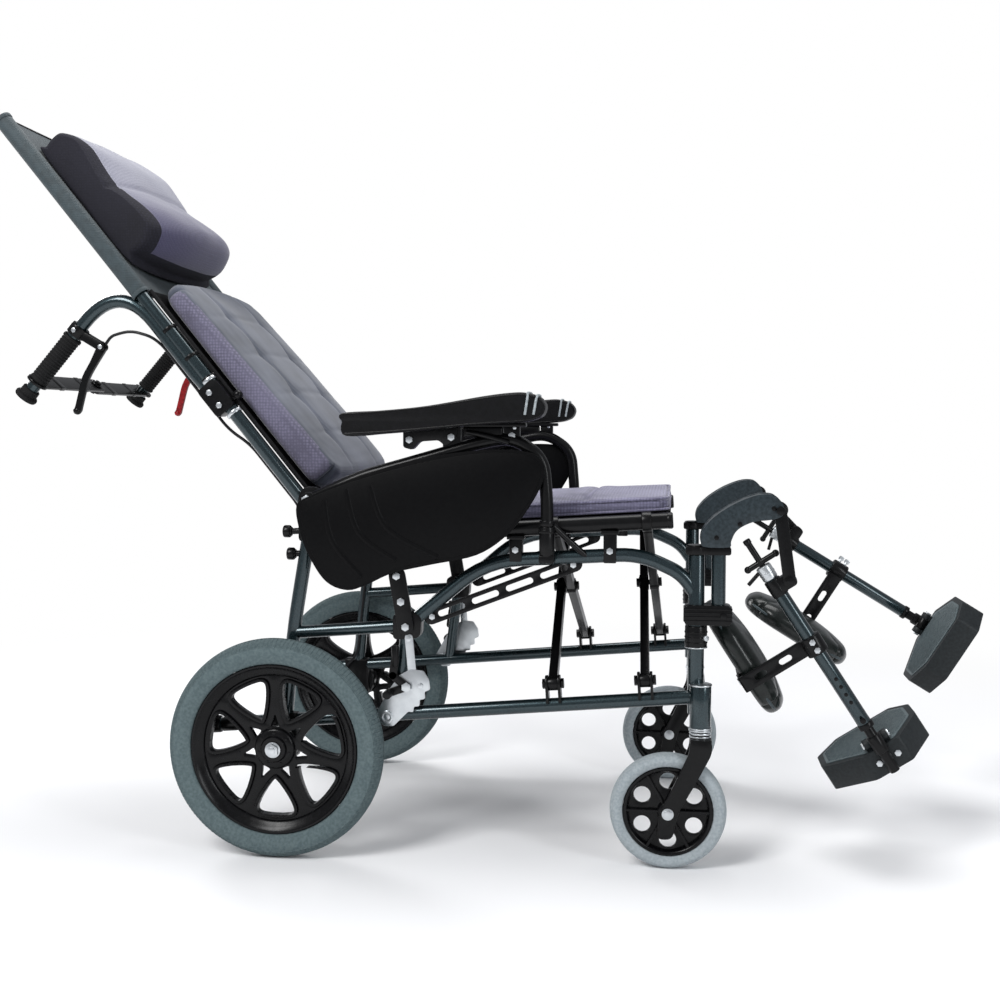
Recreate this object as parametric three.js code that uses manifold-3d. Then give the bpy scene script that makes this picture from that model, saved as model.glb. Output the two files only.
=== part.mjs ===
// A folding wheelchair with a reclining back, elevating legrests and flip-back arms.
// Millimetres, +Z up, +X to the front. The rear axle stands over x = 0 while the chair is built,
// and the whole chair is centred over the origin at the end.
import * as THREE from 'three';
import { mergeVertices } from 'three/addons/utils/BufferGeometryUtils.js';
import Module from 'manifold-3d';

const wasm = await Module();
wasm.setup();

// Driving dimensions
const rearWheelRadius = 175;
const casterRadius = 90;
const wheelbase = 618;
const frameY = 240;
const caneY = 215;
const armY = 266;
const rearWheelY = 285;
const tubeRadius = 11;
const reclineDegrees = 39;
const rightLegDegrees = 33.1;
const leftLegDegrees = 58.5;
const casterY = 252;
const seatSlopeDegrees = 3.7;

// Shared clearances
const touchGap = 0.3;
const runningGap = 0.4;
const overrun = 2;
const bendRoom_share = 0.48;
const wheelSides = 28;
const casterSides = 20;
const roundSides = 8;
const fineSides = 12;
const eyeSides = 10;
const boltSides = 6;
// A tube's sides are flat, so its faces lie a little inside its radius
const tubeFlat = tubeRadius * Math.cos(Math.PI / roundSides);

const deg = THREE.MathUtils.degToRad;

// Solids
function solidOf(geometry) {
  const bare = geometry.clone();
  for (const name of Object.keys(bare.attributes)) {
    if (name !== 'position') bare.deleteAttribute(name);
  }
  const merged = mergeVertices(bare);
  const vertProperties = new Float32Array(merged.attributes.position.array);
  const triVerts = new Uint32Array(merged.index.array);
  const solid = new wasm.Manifold(new wasm.Mesh({ numProp: 3, vertProperties, triVerts }));
  if (solid.volume() > 0) return solid;
  for (let i = 0; i < triVerts.length; i += 3) {
    const first = triVerts[i];
    triVerts[i] = triVerts[i + 1];
    triVerts[i + 1] = first;
  }
  return new wasm.Manifold(new wasm.Mesh({ numProp: 3, vertProperties, triVerts }));
}

function geometryOf(solid) {
  const mesh = solid.getMesh();
  const geometry = new THREE.BufferGeometry();
  const places = new Float32Array(mesh.vertProperties);
  geometry.setAttribute('position', new THREE.BufferAttribute(places, mesh.numProp));
  geometry.setIndex(new THREE.BufferAttribute(new Uint32Array(mesh.triVerts), 1));
  return geometry;
}

function meshOf(positions, faces) {
  const geometry = new THREE.BufferGeometry();
  geometry.setAttribute('position', new THREE.Float32BufferAttribute(positions, 3));
  geometry.setIndex(faces);
  return geometryOf(solidOf(geometry));
}

function join(...geometries) {
  return geometryOf(geometries.map(solidOf).reduce((sum, next) => sum.add(next)));
}

function cut(body, ...tools) {
  return geometryOf(tools.map(solidOf).reduce((rest, tool) => rest.subtract(tool), solidOf(body)));
}

function mirrored(geometry) {
  const copy = geometryOf(solidOf(geometry));
  const places = copy.attributes.position;
  for (let i = 0; i < places.count; i += 1) places.setY(i, -places.getY(i));
  const index = copy.index.array;
  for (let i = 0; i < index.length; i += 3) {
    const first = index[i];
    index[i] = index[i + 1];
    index[i + 1] = first;
  }
  return copy;
}

// A path whose rings lie exactly on its own points
class Route extends THREE.Curve {
  constructor(points) {
    super();
    this.points = points;
  }

  step(u) {
    return Math.round(u * (this.points.length - 1));
  }

  getPoint(t, target = new THREE.Vector3()) {
    return target.copy(this.points[this.step(t)]);
  }

  getPointAt(u, target = new THREE.Vector3()) {
    return this.getPoint(u, target);
  }

  getTangentAt(u, target = new THREE.Vector3()) {
    const i = this.step(u);
    const last = this.points.length - 1;
    const before = this.points[Math.max(i - 1, 0)];
    const here = this.points[i];
    const after = this.points[Math.min(i + 1, last)];
    const arriving = here.clone().sub(before).normalize();
    const leaving = after.clone().sub(here).normalize();
    return target.copy(arriving).add(leaving).normalize();
  }
}

// Corners of a path rounded to a bend radius, each with a few points
function rounded(points, bendRadius, stepsPerBend = 3) {
  const route = [points[0].clone()];
  for (let i = 1; i < points.length - 1; i += 1) {
    const toLast = points[i - 1].clone().sub(points[i]);
    const toNext = points[i + 1].clone().sub(points[i]);
    const halfTurn = (Math.PI - toLast.angleTo(toNext)) / 2;
    const room = Math.min(toLast.length(), toNext.length()) * bendRoom_share;
    const reach = Math.min(bendRadius * Math.tan(halfTurn), room);
    const from = points[i].clone().addScaledVector(toLast.normalize(), reach);
    const to = points[i].clone().addScaledVector(toNext.normalize(), reach);
    const bend = new THREE.QuadraticBezierCurve3(from, points[i], to);
    route.push(...bend.getPoints(stepsPerBend));
  }
  route.push(points[points.length - 1].clone());
  return route;
}

function sweep(section, route) {
  const path = new Route(route);
  return new THREE.ExtrudeGeometry(section, { steps: route.length - 1, extrudePath: path, curveSegments: 1 });
}

function circle(radius, sides = roundSides) {
  const shape = new THREE.Shape();
  for (let i = 0; i < sides; i += 1) {
    const angle = (i + 0.5) * (2 * Math.PI / sides);
    const corner = [radius * Math.cos(angle), radius * Math.sin(angle)];
    if (i === 0) shape.moveTo(...corner);
    else shape.lineTo(...corner);
  }
  shape.closePath();
  return shape;
}

// A bent round tube in a plane of constant y, through [x, z] places
function tube(places, y, radius, bendRadius, bendSteps = 3) {
  const points = places.map(([x, z]) => new THREE.Vector3(x, y, z));
  return sweep(circle(radius), rounded(points, bendRadius, bendSteps));
}

function rod(from, to, radius, sides = roundSides) {
  return sweep(circle(radius, sides), [new THREE.Vector3(...from), new THREE.Vector3(...to)]);
}

function box(low, high) {
  const size = high.map((value, i) => Math.abs(value - low[i]));
  const centre = high.map((value, i) => (value + low[i]) / 2);
  return new THREE.BoxGeometry(...size).translate(...centre);
}

// The radius of a faceted hole that clears a faceted pin
function bored(pinRadius, sides = roundSides) {
  return (pinRadius + runningGap) / Math.cos(Math.PI / sides);
}

// A flat plate: an outline of [x, z] places, between two values of y
function plate(outline, yFrom, yTo) {
  const shape = new THREE.Shape(outline.map(([x, z]) => new THREE.Vector2(x, z)));
  const depth = Math.abs(yTo - yFrom);
  const geometry = new THREE.ExtrudeGeometry(shape, { depth, bevelEnabled: false, curveSegments: 1 });
  return geometry.rotateX(Math.PI / 2).translate(0, Math.max(yFrom, yTo), 0);
}

// A bar with round ends along a line of [x, z] places, between two values of y
function link(from, to, width, yFrom, yTo, endSteps = 4) {
  const along = new THREE.Vector2(to[0] - from[0], to[1] - from[1]);
  const heading = along.angle();
  const outline = [];
  for (const [centre, start] of [[to, heading - Math.PI / 2], [from, heading + Math.PI / 2]]) {
    for (let i = 0; i <= endSteps; i += 1) {
      const angle = start + Math.PI * i / endSteps;
      outline.push([centre[0] + width / 2 * Math.cos(angle), centre[1] + width / 2 * Math.sin(angle)]);
    }
  }
  return plate(outline, yFrom, yTo);
}

// A turned ring or disc about the Y axis, from a closed list of [radius, y] places
function turned(profile, segments) {
  const closed = [...profile, profile[0]];
  const points = closed.map(([radius, y]) => new THREE.Vector2(radius, y));
  return new THREE.LatheGeometry(points, segments);
}

function disc(radius, yFrom, yTo, segments) {
  const points = [[0, yFrom], [radius, yFrom], [radius, yTo], [0, yTo]];
  return new THREE.LatheGeometry(points.map(([r, y]) => new THREE.Vector2(r, y)), segments);
}

// A crowned cushion is a block whose upper face swells and whose rim rounds over. Its rings and its dents
// are placed by shares of its half sizes.
const cushionRim = {
  belt_share: 0.32,
  rings_share: [[1, -0.32], [1, 0.32], [0.965, 0.82], [0.9, 1]],
  edge_share: 0.99,
  crownPower: 3,
  channelPower: 6,
  channelWidth_share: 0.06,
  tuftLength_share: 0.077,
  tuftWidth_share: 0.11,
};

function crownHeight(shape, u, v) {
  const fade = (share, power) => 1 - Math.pow(Math.abs(share), power);
  const { crownPower, channelPower, channelWidth_share, tuftLength_share, tuftWidth_share } = cushionRim;
  let height = shape.crown * fade(u, crownPower) * fade(v, crownPower);
  for (const channel_share of shape.channels_share ?? []) {
    const away = (u - channel_share) / channelWidth_share;
    height -= shape.dent * Math.exp(-away * away) * fade(v, channelPower);
  }
  for (const [tuftU, tuftV] of shape.tufts_share ?? []) {
    const apart = Math.hypot((u - tuftU) / tuftLength_share, (v - tuftV) / tuftWidth_share);
    height -= shape.dent * Math.exp(-apart * apart);
  }
  return height;
}

function cushion(shape) {
  const [stepsLong, stepsWide] = shape.steps;
  const taper = shape.taper ?? (() => 1);
  const place = (u, v, level) => {
    const onSide = Math.abs(v) > cushionRim.edge_share ? 1 : 0;
    const onEnd = Math.abs(u) > cushionRim.edge_share ? 1 : 0;
    const x = u * (shape.length / 2 - shape.drawIn * (1 - v * v) * onEnd);
    const y = v * (shape.width / 2 - shape.drawIn * (1 - u * u) * onSide);
    const z = level * shape.thickness / 2 * taper((u + 1) / 2);
    return [x, y, level >= 1 ? z + crownHeight(shape, u, v) : z];
  };
  const around = [];
  for (let i = 0; i < stepsLong; i += 1) around.push([-1 + 2 * i / stepsLong, -1]);
  for (let i = 0; i < stepsWide; i += 1) around.push([1, -1 + 2 * i / stepsWide]);
  for (let i = 0; i < stepsLong; i += 1) around.push([1 - 2 * i / stepsLong, 1]);
  for (let i = 0; i < stepsWide; i += 1) around.push([-1, 1 - 2 * i / stepsWide]);
  const count = around.length;
  const rings = cushionRim.rings_share;
  const positions = [];
  const faces = [];
  for (const [share, level] of rings) {
    for (const [u, v] of around) positions.push(...place(u * share, v * share, level));
  }
  for (let r = 0; r < rings.length - 1; r += 1) {
    for (let i = 0; i < count; i += 1) {
      const a = r * count + i;
      const b = r * count + (i + 1) % count;
      faces.push(a, b, b + count, a, b + count, a + count);
    }
  }
  // The crowned top and the flat underside are grids that share the rings' corners
  for (const top of [true, false]) {
    const ringStart = top ? (rings.length - 1) * count : 0;
    const [share, level] = top ? rings[rings.length - 1] : rings[0];
    const grid = [];
    for (let j = 0; j <= stepsWide; j += 1) {
      const line = [];
      for (let i = 0; i <= stepsLong; i += 1) {
        if (j === 0) line.push(ringStart + i);
        else if (i === stepsLong) line.push(ringStart + stepsLong + j);
        else if (j === stepsWide) line.push(ringStart + stepsLong + stepsWide + (stepsLong - i));
        else if (i === 0) line.push(ringStart + (2 * stepsLong + stepsWide + (stepsWide - j)) % count);
        else {
          line.push(positions.length / 3);
          const u = (-1 + 2 * i / stepsLong) * share;
          const v = (-1 + 2 * j / stepsWide) * share;
          positions.push(...place(u, v, level));
        }
      }
      grid.push(line);
    }
    for (let j = 0; j < stepsWide; j += 1) {
      for (let i = 0; i < stepsLong; i += 1) {
        const corners = [grid[j][i], grid[j][i + 1], grid[j + 1][i + 1], grid[j + 1][i]];
        const [a, b, c, d] = top ? corners : corners.reverse();
        faces.push(a, b, c, a, c, d);
      }
    }
  }
  return meshOf(positions, faces);
}

// Finishes
function finish(color, roughness, metalness) {
  return new THREE.MeshStandardMaterial({ color, roughness, metalness });
}

const finishes = {
  frameCoat: finish(0x2f3f40, 0.35, 0.6),
  blackSteel: finish(0x121214, 0.4, 0.5),
  silver: finish(0xb9bdc0, 0.35, 0.9),
  rearTyre: finish(0x5a6b6d, 0.8, 0),
  casterTyre: finish(0xa9b2b6, 0.7, 0),
  rimBlack: finish(0x0e0e10, 0.3, 0),
  seatMesh: finish(0x77748a, 0.9, 0),
  backFabric: finish(0x7a808c, 0.85, 0),
  slateFabric: finish(0x4d5b5e, 0.8, 0),
  blackVinyl: finish(0x151517, 0.45, 0),
  kneePlastic: finish(0x3b4348, 0.5, 0),
  calfVinyl: finish(0x2f3833, 0.35, 0),
  plateGrey: finish(0x4a5153, 0.6, 0),
  gripRubber: finish(0x141416, 0.7, 0),
  leverRed: finish(0x5a1418, 0.4, 0),
  cable: finish(0x0c0c0e, 0.5, 0),
};

function piece(name, geometry, material) {
  const mesh = new THREE.Mesh(geometry, material);
  mesh.name = name;
  return mesh;
}

// Rear wheel, about its own centre, with its outer side towards -y
const rear = {
  halfWidth: 22,
  beadRadius: 136,
  bedDepth: 14,
  bedHalfWidth: 17,
  discHalf: 5,
  hubRadius: 32,
  hubHalf: 17,
  axleRadius: 6,
  // Each window is a rounded triangle that points at the hub: [how far out of it, half width]
  windowInner: 44,
  windowDepth: 67.5,
  windowHalf: 35.5,
  window_share: [[0, 0], [0.385, 0.66], [0.815, 1], [1, 0.56]],
  windows: 7,
  windowStart: 90,
  footHoleInner: 36,
  footHoleOuter: 53,
  footHoleHalf: 6,
  nutRadius: 12,
  nutLength: 8,
  drumRadius: 32,
};

function rearTyre() {
  const { beadRadius, halfWidth } = rear;
  const wall = rearWheelRadius - beadRadius;
  const profile_share = [[0, 0.8], [0.55, 1], [0.88, 0.72], [1, 0.28]];
  const upper = profile_share.map(([r, w]) => [beadRadius + wall * r, halfWidth * w]);
  const lower = [...upper].reverse().map(([radius, y]) => [radius, -y]);
  return geometryOf(solidOf(turned([...upper, ...lower], wheelSides)));
}

function radialShape(points, count, halfDepth, startAngle = 0) {
  const tools = [];
  for (let i = 0; i < count; i += 1) {
    const tool = plate(points, -halfDepth, halfDepth);
    tools.push(tool.rotateY(startAngle + 2 * Math.PI * i / count));
  }
  return tools;
}

function rearRim() {
  const rimRadius = rear.beadRadius - touchGap;
  const bedInner = rimRadius - rear.bedDepth;
  const bed = turned([[bedInner, -rear.bedHalfWidth], [rimRadius, -rear.bedHalfWidth],
    [rimRadius, rear.bedHalfWidth], [bedInner, rear.bedHalfWidth]], wheelSides);
  const web = disc(bedInner + overrun, -rear.discHalf, rear.discHalf, wheelSides);
  const hub = disc(rear.hubRadius, -rear.hubHalf, rear.hubHalf, fineSides);
  const side = rear.window_share.map(([out, wide]) => [
    rear.windowInner + out * rear.windowDepth,
    wide * rear.windowHalf,
  ]);
  const other = side.slice(1).reverse().map(([out, wide]) => [out, -wide]);
  const drop = [...side, ...other];
  const foot = [[rear.footHoleOuter, 0], [rear.footHoleInner, rear.footHoleHalf],
    [rear.footHoleInner, -rear.footHoleHalf]];
  const depth = rear.discHalf + overrun;
  const start = deg(rear.windowStart);
  const between = start + Math.PI / rear.windows;
  const tools = [
    ...radialShape(drop, rear.windows, depth, start),
    ...radialShape(foot, rear.windows, depth, between),
  ];
  const bore = disc(bored(rear.axleRadius), -rear.hubHalf - overrun, rear.hubHalf + overrun, roundSides);
  return cut(join(bed, web, hub), bore, ...tools);
}

// Caster wheel, about its own centre
const caster = {
  halfWidth: 16,
  beadRadius: 70,
  webHalf: 4,
  rimHalf: 12,
  rimDepth: 8,
  hubRadius: 15,
  holeRadius: 13.5,
  holeCentre: 46,
  holes: 6,
  ribHeight: 7,
  ribWidth: 4,
  axleRadius: 5,
  bladeThickness: 5,
  bladeGap: 3.5,
  boltHead: 4,
  boltRadius: 9,
};
const bladeInner = caster.halfWidth + caster.bladeGap;
const bladeOuter = bladeInner + caster.bladeThickness;

function casterTyre() {
  const { beadRadius, halfWidth } = caster;
  const wall = casterRadius - beadRadius;
  const profile_share = [[0, 0.75], [0.5, 1], [0.85, 0.75], [1, 0.3]];
  const upper = profile_share.map(([r, w]) => [beadRadius + wall * r, halfWidth * w]);
  const lower = [...upper].reverse().map(([radius, y]) => [radius, -y]);
  return geometryOf(solidOf(turned([...upper, ...lower], casterSides)));
}

function casterHub() {
  const rimRadius = caster.beadRadius - touchGap;
  const rimInner = rimRadius - caster.rimDepth;
  const bed = turned([[rimInner, -caster.rimHalf], [rimRadius, -caster.rimHalf],
    [rimRadius, caster.rimHalf], [rimInner, caster.rimHalf]], casterSides);
  const web = disc(rimInner + overrun, -caster.webHalf, caster.webHalf, casterSides);
  const hub = disc(caster.hubRadius, touchGap - bladeInner, bladeInner - touchGap, eyeSides);
  const parts = [bed, web, hub];
  const ribLow = [0, -caster.ribHeight, -caster.ribWidth / 2];
  const ribHigh = [rimInner + overrun, caster.ribHeight, caster.ribWidth / 2];
  const pitch = 2 * Math.PI / caster.holes;
  for (let i = 0; i < caster.holes; i += 1) parts.push(box(ribLow, ribHigh).rotateY(pitch * i));
  const tools = [];
  const reach = caster.webHalf + overrun;
  for (let i = 0; i < caster.holes; i += 1) {
    const hole = disc(caster.holeRadius, -reach, reach, boltSides).translate(caster.holeCentre, 0, 0);
    tools.push(hole.rotateY(pitch * (i + 0.5)));
  }
  tools.push(disc(bored(caster.axleRadius), -bladeOuter, bladeOuter, roundSides));
  return cut(join(...parts), ...tools);
}

// The front post carries the caster barrel below and the legrest hanger above
const post = {
  x: 659,
  radius: 12.5,
  low: 240,
  top: 487.5,
  barrelAhead: 7.5,
  barrelRadius: 16.5,
  barrelLow: 216,
  barrelHigh: 289,
  stemRadius: 8,
  stemTop: 280,
};
const barrelX = post.x + post.barrelAhead;
const fork = {
  crownLow: 190,
  crownHigh: 206,
  crownBack: 16,
  crownFront: 18,
  ringRadius: 15,
  endDrop: 40,
  endBack: 18,
  bladeWidth: 24,
};

function casterFork() {
  const axle = [wheelbase, casterRadius];
  const crownTop = fork.crownHigh;
  const outline = [
    [barrelX - fork.crownBack, crownTop],
    [barrelX + fork.crownFront, crownTop],
    [barrelX + fork.crownFront, fork.crownLow],
    [axle[0] + fork.bladeWidth / 2, axle[1]],
    [axle[0] + fork.bladeWidth / 4, axle[1] - fork.endDrop],
    [axle[0] - fork.endBack, axle[1] - fork.endDrop],
    [axle[0] - fork.bladeWidth / 2, axle[1]],
    [barrelX - fork.crownBack, fork.crownLow],
  ];
  const blades = [plate(outline, -bladeOuter, -bladeInner), plate(outline, bladeInner, bladeOuter)];
  const crown = box([barrelX - fork.crownBack, -bladeOuter, fork.crownLow],
    [barrelX + fork.crownFront, bladeOuter, crownTop]);
  const ringTop = post.barrelLow - touchGap;
  const ring = rod([barrelX, 0, crownTop - overrun], [barrelX, 0, ringTop], fork.ringRadius);
  const stem = rod([barrelX, 0, crownTop - overrun], [barrelX, 0, post.stemTop], post.stemRadius);
  const pinReach = bladeOuter + caster.boltHead;
  const pin = rod([axle[0], -pinReach, axle[1]], [axle[0], pinReach, axle[1]], caster.axleRadius);
  const heads = [-1, 1].map((s) => rod([axle[0], s * bladeOuter, axle[1]],
    [axle[0], s * pinReach, axle[1]], caster.boltRadius, boltSides));
  return join(...blades, crown, ring, stem, pin, ...heads);
}

// The folding linkage lies in a frame tipped by the seat's slope: u runs along the hinges, n is up
const fold = {
  x: 513,
  z: 285.5,
  rise: 247,
  rearAlong: -67,
  frontAlong: 77,
  armWidth: 15,
  armHeight: 22,
  lapGap: 2,
  pinRadius: 5,
  boltRadius: 4.5,
  boltHead: 8,
  headLength: 5,
  cheek: 4,
  cheekHalf: 13,
  cheekDrop: 34,
};
const seatRail = {
  radius: 12.5,
  rear: -408,
  front: 126,
  eyeRadius: 15.5,
};
const lapOffset = (fold.armWidth + fold.lapGap) / 2;
const armRise = Math.atan2(fold.rise, 2 * frameY);
const armLength = Math.hypot(fold.rise, 2 * frameY);
const foldFrame = new THREE.Matrix4()
  .makeTranslation(fold.x, 0, fold.z)
  .multiply(new THREE.Matrix4().makeRotationY(-deg(seatSlopeDegrees)));

function inFoldFrame(geometry) {
  return geometry.applyMatrix4(foldFrame);
}

// Arm a starts at the right foot, arm b at the left foot; both are laid out along +y and b is mirrored
function braceArm(along, isA) {
  const low = along + (isA ? -lapOffset : lapOffset) - fold.armWidth / 2;
  const high = low + fold.armWidth;
  const bar = new THREE.BoxGeometry(fold.armWidth, armLength, fold.armHeight);
  bar.translate(0, armLength / 2, 0).rotateX(armRise).translate((low + high) / 2, -frameY, 0);
  const footEnd = rod([low, -frameY, 0], [high, -frameY, 0], fold.cheekHalf - overrun);
  const eye = rod([low, frameY, fold.rise], [high, frameY, fold.rise], seatRail.eyeRadius, fineSides);
  const boreReach = fold.headLength + overrun;
  const footBore = rod([low - boreReach, -frameY, 0], [high + boreReach, -frameY, 0], bored(fold.pinRadius));
  const eyeBore = rod([low - boreReach, frameY, fold.rise], [high + boreReach, frameY, fold.rise],
    bored(seatRail.radius, fineSides), fineSides);
  const arm = cut(join(bar, footEnd, eye), footBore, eyeBore);
  const middle = fold.rise / 2;
  if (isA) {
    const farSide = high + fold.lapGap + fold.armWidth;
    const boltEnd = farSide + fold.headLength;
    const bolt = rod([low - fold.headLength, 0, middle], [boltEnd, 0, middle], fold.boltRadius);
    const head = rod([low - fold.headLength, 0, middle], [low, 0, middle], fold.boltHead, boltSides);
    const nut = rod([farSide + touchGap, 0, middle], [boltEnd, 0, middle], fold.boltHead, boltSides);
    return inFoldFrame(join(arm, bolt, head, nut));
  }
  const hole = rod([low - overrun, 0, middle], [high + overrun, 0, middle], bored(fold.boltRadius));
  return inFoldFrame(mirrored(cut(arm, hole)));
}

// Two cheeks and a pin that hold an arm's foot over the lower rail
function footBracket(along, isA) {
  const low = along + (isA ? -lapOffset : lapOffset) - fold.armWidth / 2 - touchGap;
  const high = low + fold.armWidth + 2 * touchGap;
  const cheeks = [[low - fold.cheek, low], [high, high + fold.cheek]].map(([from, to]) => (
    box([from, -frameY - fold.cheekHalf, -fold.cheekDrop], [to, -frameY + fold.cheekHalf, fold.cheekHalf])));
  const pinOut = fold.headLength + fold.cheek;
  const pin = rod([low - pinOut, -frameY, 0], [high + pinOut, -frameY, 0],
    fold.pinRadius);
  return inFoldFrame(join(...cheeks, pin));
}

// Side frame, right-hand side
const side = {
  railRearX: -118,
  railRearZ: 198,
  railFrontZ: 266,
  rearPostTop: [46, 520],
  rearPostBend: [16, 352],
  rearPostFoot: [2, 208],
  knuckle: [205, 368],
  diagonalTop: [332, 473],
  upperFront: [572, 487],
  upperDrop: [636, 458],
  upperEnd: [659, 426],
  upperBend: 55,
  bendSteps: 2,
  crossRadius: 10,
  middleFoot: [188, 228],
  knuckleHalf: 22,
  knuckleThickness: 13,
  tipRadius: 14,
  tipLength: 28,
  axleZ: rearWheelRadius,
  bossHalf: 24,
  bossTop: 222,
  bossLow: 151,
};
const bracePlate = {
  from: [243, 382],
  to: [471, 470],
  width: 32,
  thickness: 5,
  slots: 4,
  slotWidth: 13,
  slotLength: 34,
  firstSlot_share: 0.6,
  endRoom_share: 0.2,
};
const pivots = {
  recline: [48, 540],
  arm: [52, 568],
  pinRadius: 6,
  plateHalf: 20,
  plateThickness: 6,
  plateLow: 500,
  plateHigh: 588,
  collar: 2,
  armEyeRadius: 13,
};
const seatBlock = {
  places: [379, 526],
  halfLength: 10,
  halfWidth: 12,
};
const armSocket = {
  x: 430,
  half: 12,
  low: 474,
  high: 486,
  height: 44,
  inboard: 258,
  strutEnd: [486, 483],
  strutRadius: 4,
};
const socketTop = armSocket.high + armSocket.height;
const strap = {
  top: [191, 449],
  width: 26,
  thickness: 6,
};
const knobs = {
  places: [[14, 516], [20, 480]],
  radius: 10,
  length: 12,
  stem: 5,
};

function railZ(x) {
  const share = (x - side.railRearX) / (post.x - side.railRearX);
  return side.railRearZ + (side.railFrontZ - side.railRearZ) * share;
}

const seatOrigin = new THREE.Vector3(0, 0, fold.rise).applyMatrix4(foldFrame);

function seatRailZ(x) {
  return seatOrigin.z + (x - seatOrigin.x) * Math.tan(deg(seatSlopeDegrees));
}

function slottedBrace() {
  const y = -frameY;
  const half = bracePlate.thickness / 2;
  const bar = link(bracePlate.from, bracePlate.to, bracePlate.width, y - half, y + half);
  const tools = [];
  const [x0, z0] = bracePlate.from;
  const [x1, z1] = bracePlate.to;
  for (let i = 0; i < bracePlate.slots; i += 1) {
    const share = (i + bracePlate.firstSlot_share) / (bracePlate.slots + bracePlate.endRoom_share);
    const length = Math.hypot(x1 - x0, z1 - z0);
    const step = bracePlate.slotLength / 2 / length;
    const from = [x0 + (x1 - x0) * (share - step), z0 + (z1 - z0) * (share - step)];
    const to = [x0 + (x1 - x0) * (share + step), z0 + (z1 - z0) * (share + step)];
    tools.push(link(from, to, bracePlate.slotWidth, y - half - overrun, y + half + overrun, 3));
  }
  return cut(bar, ...tools);
}

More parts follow.
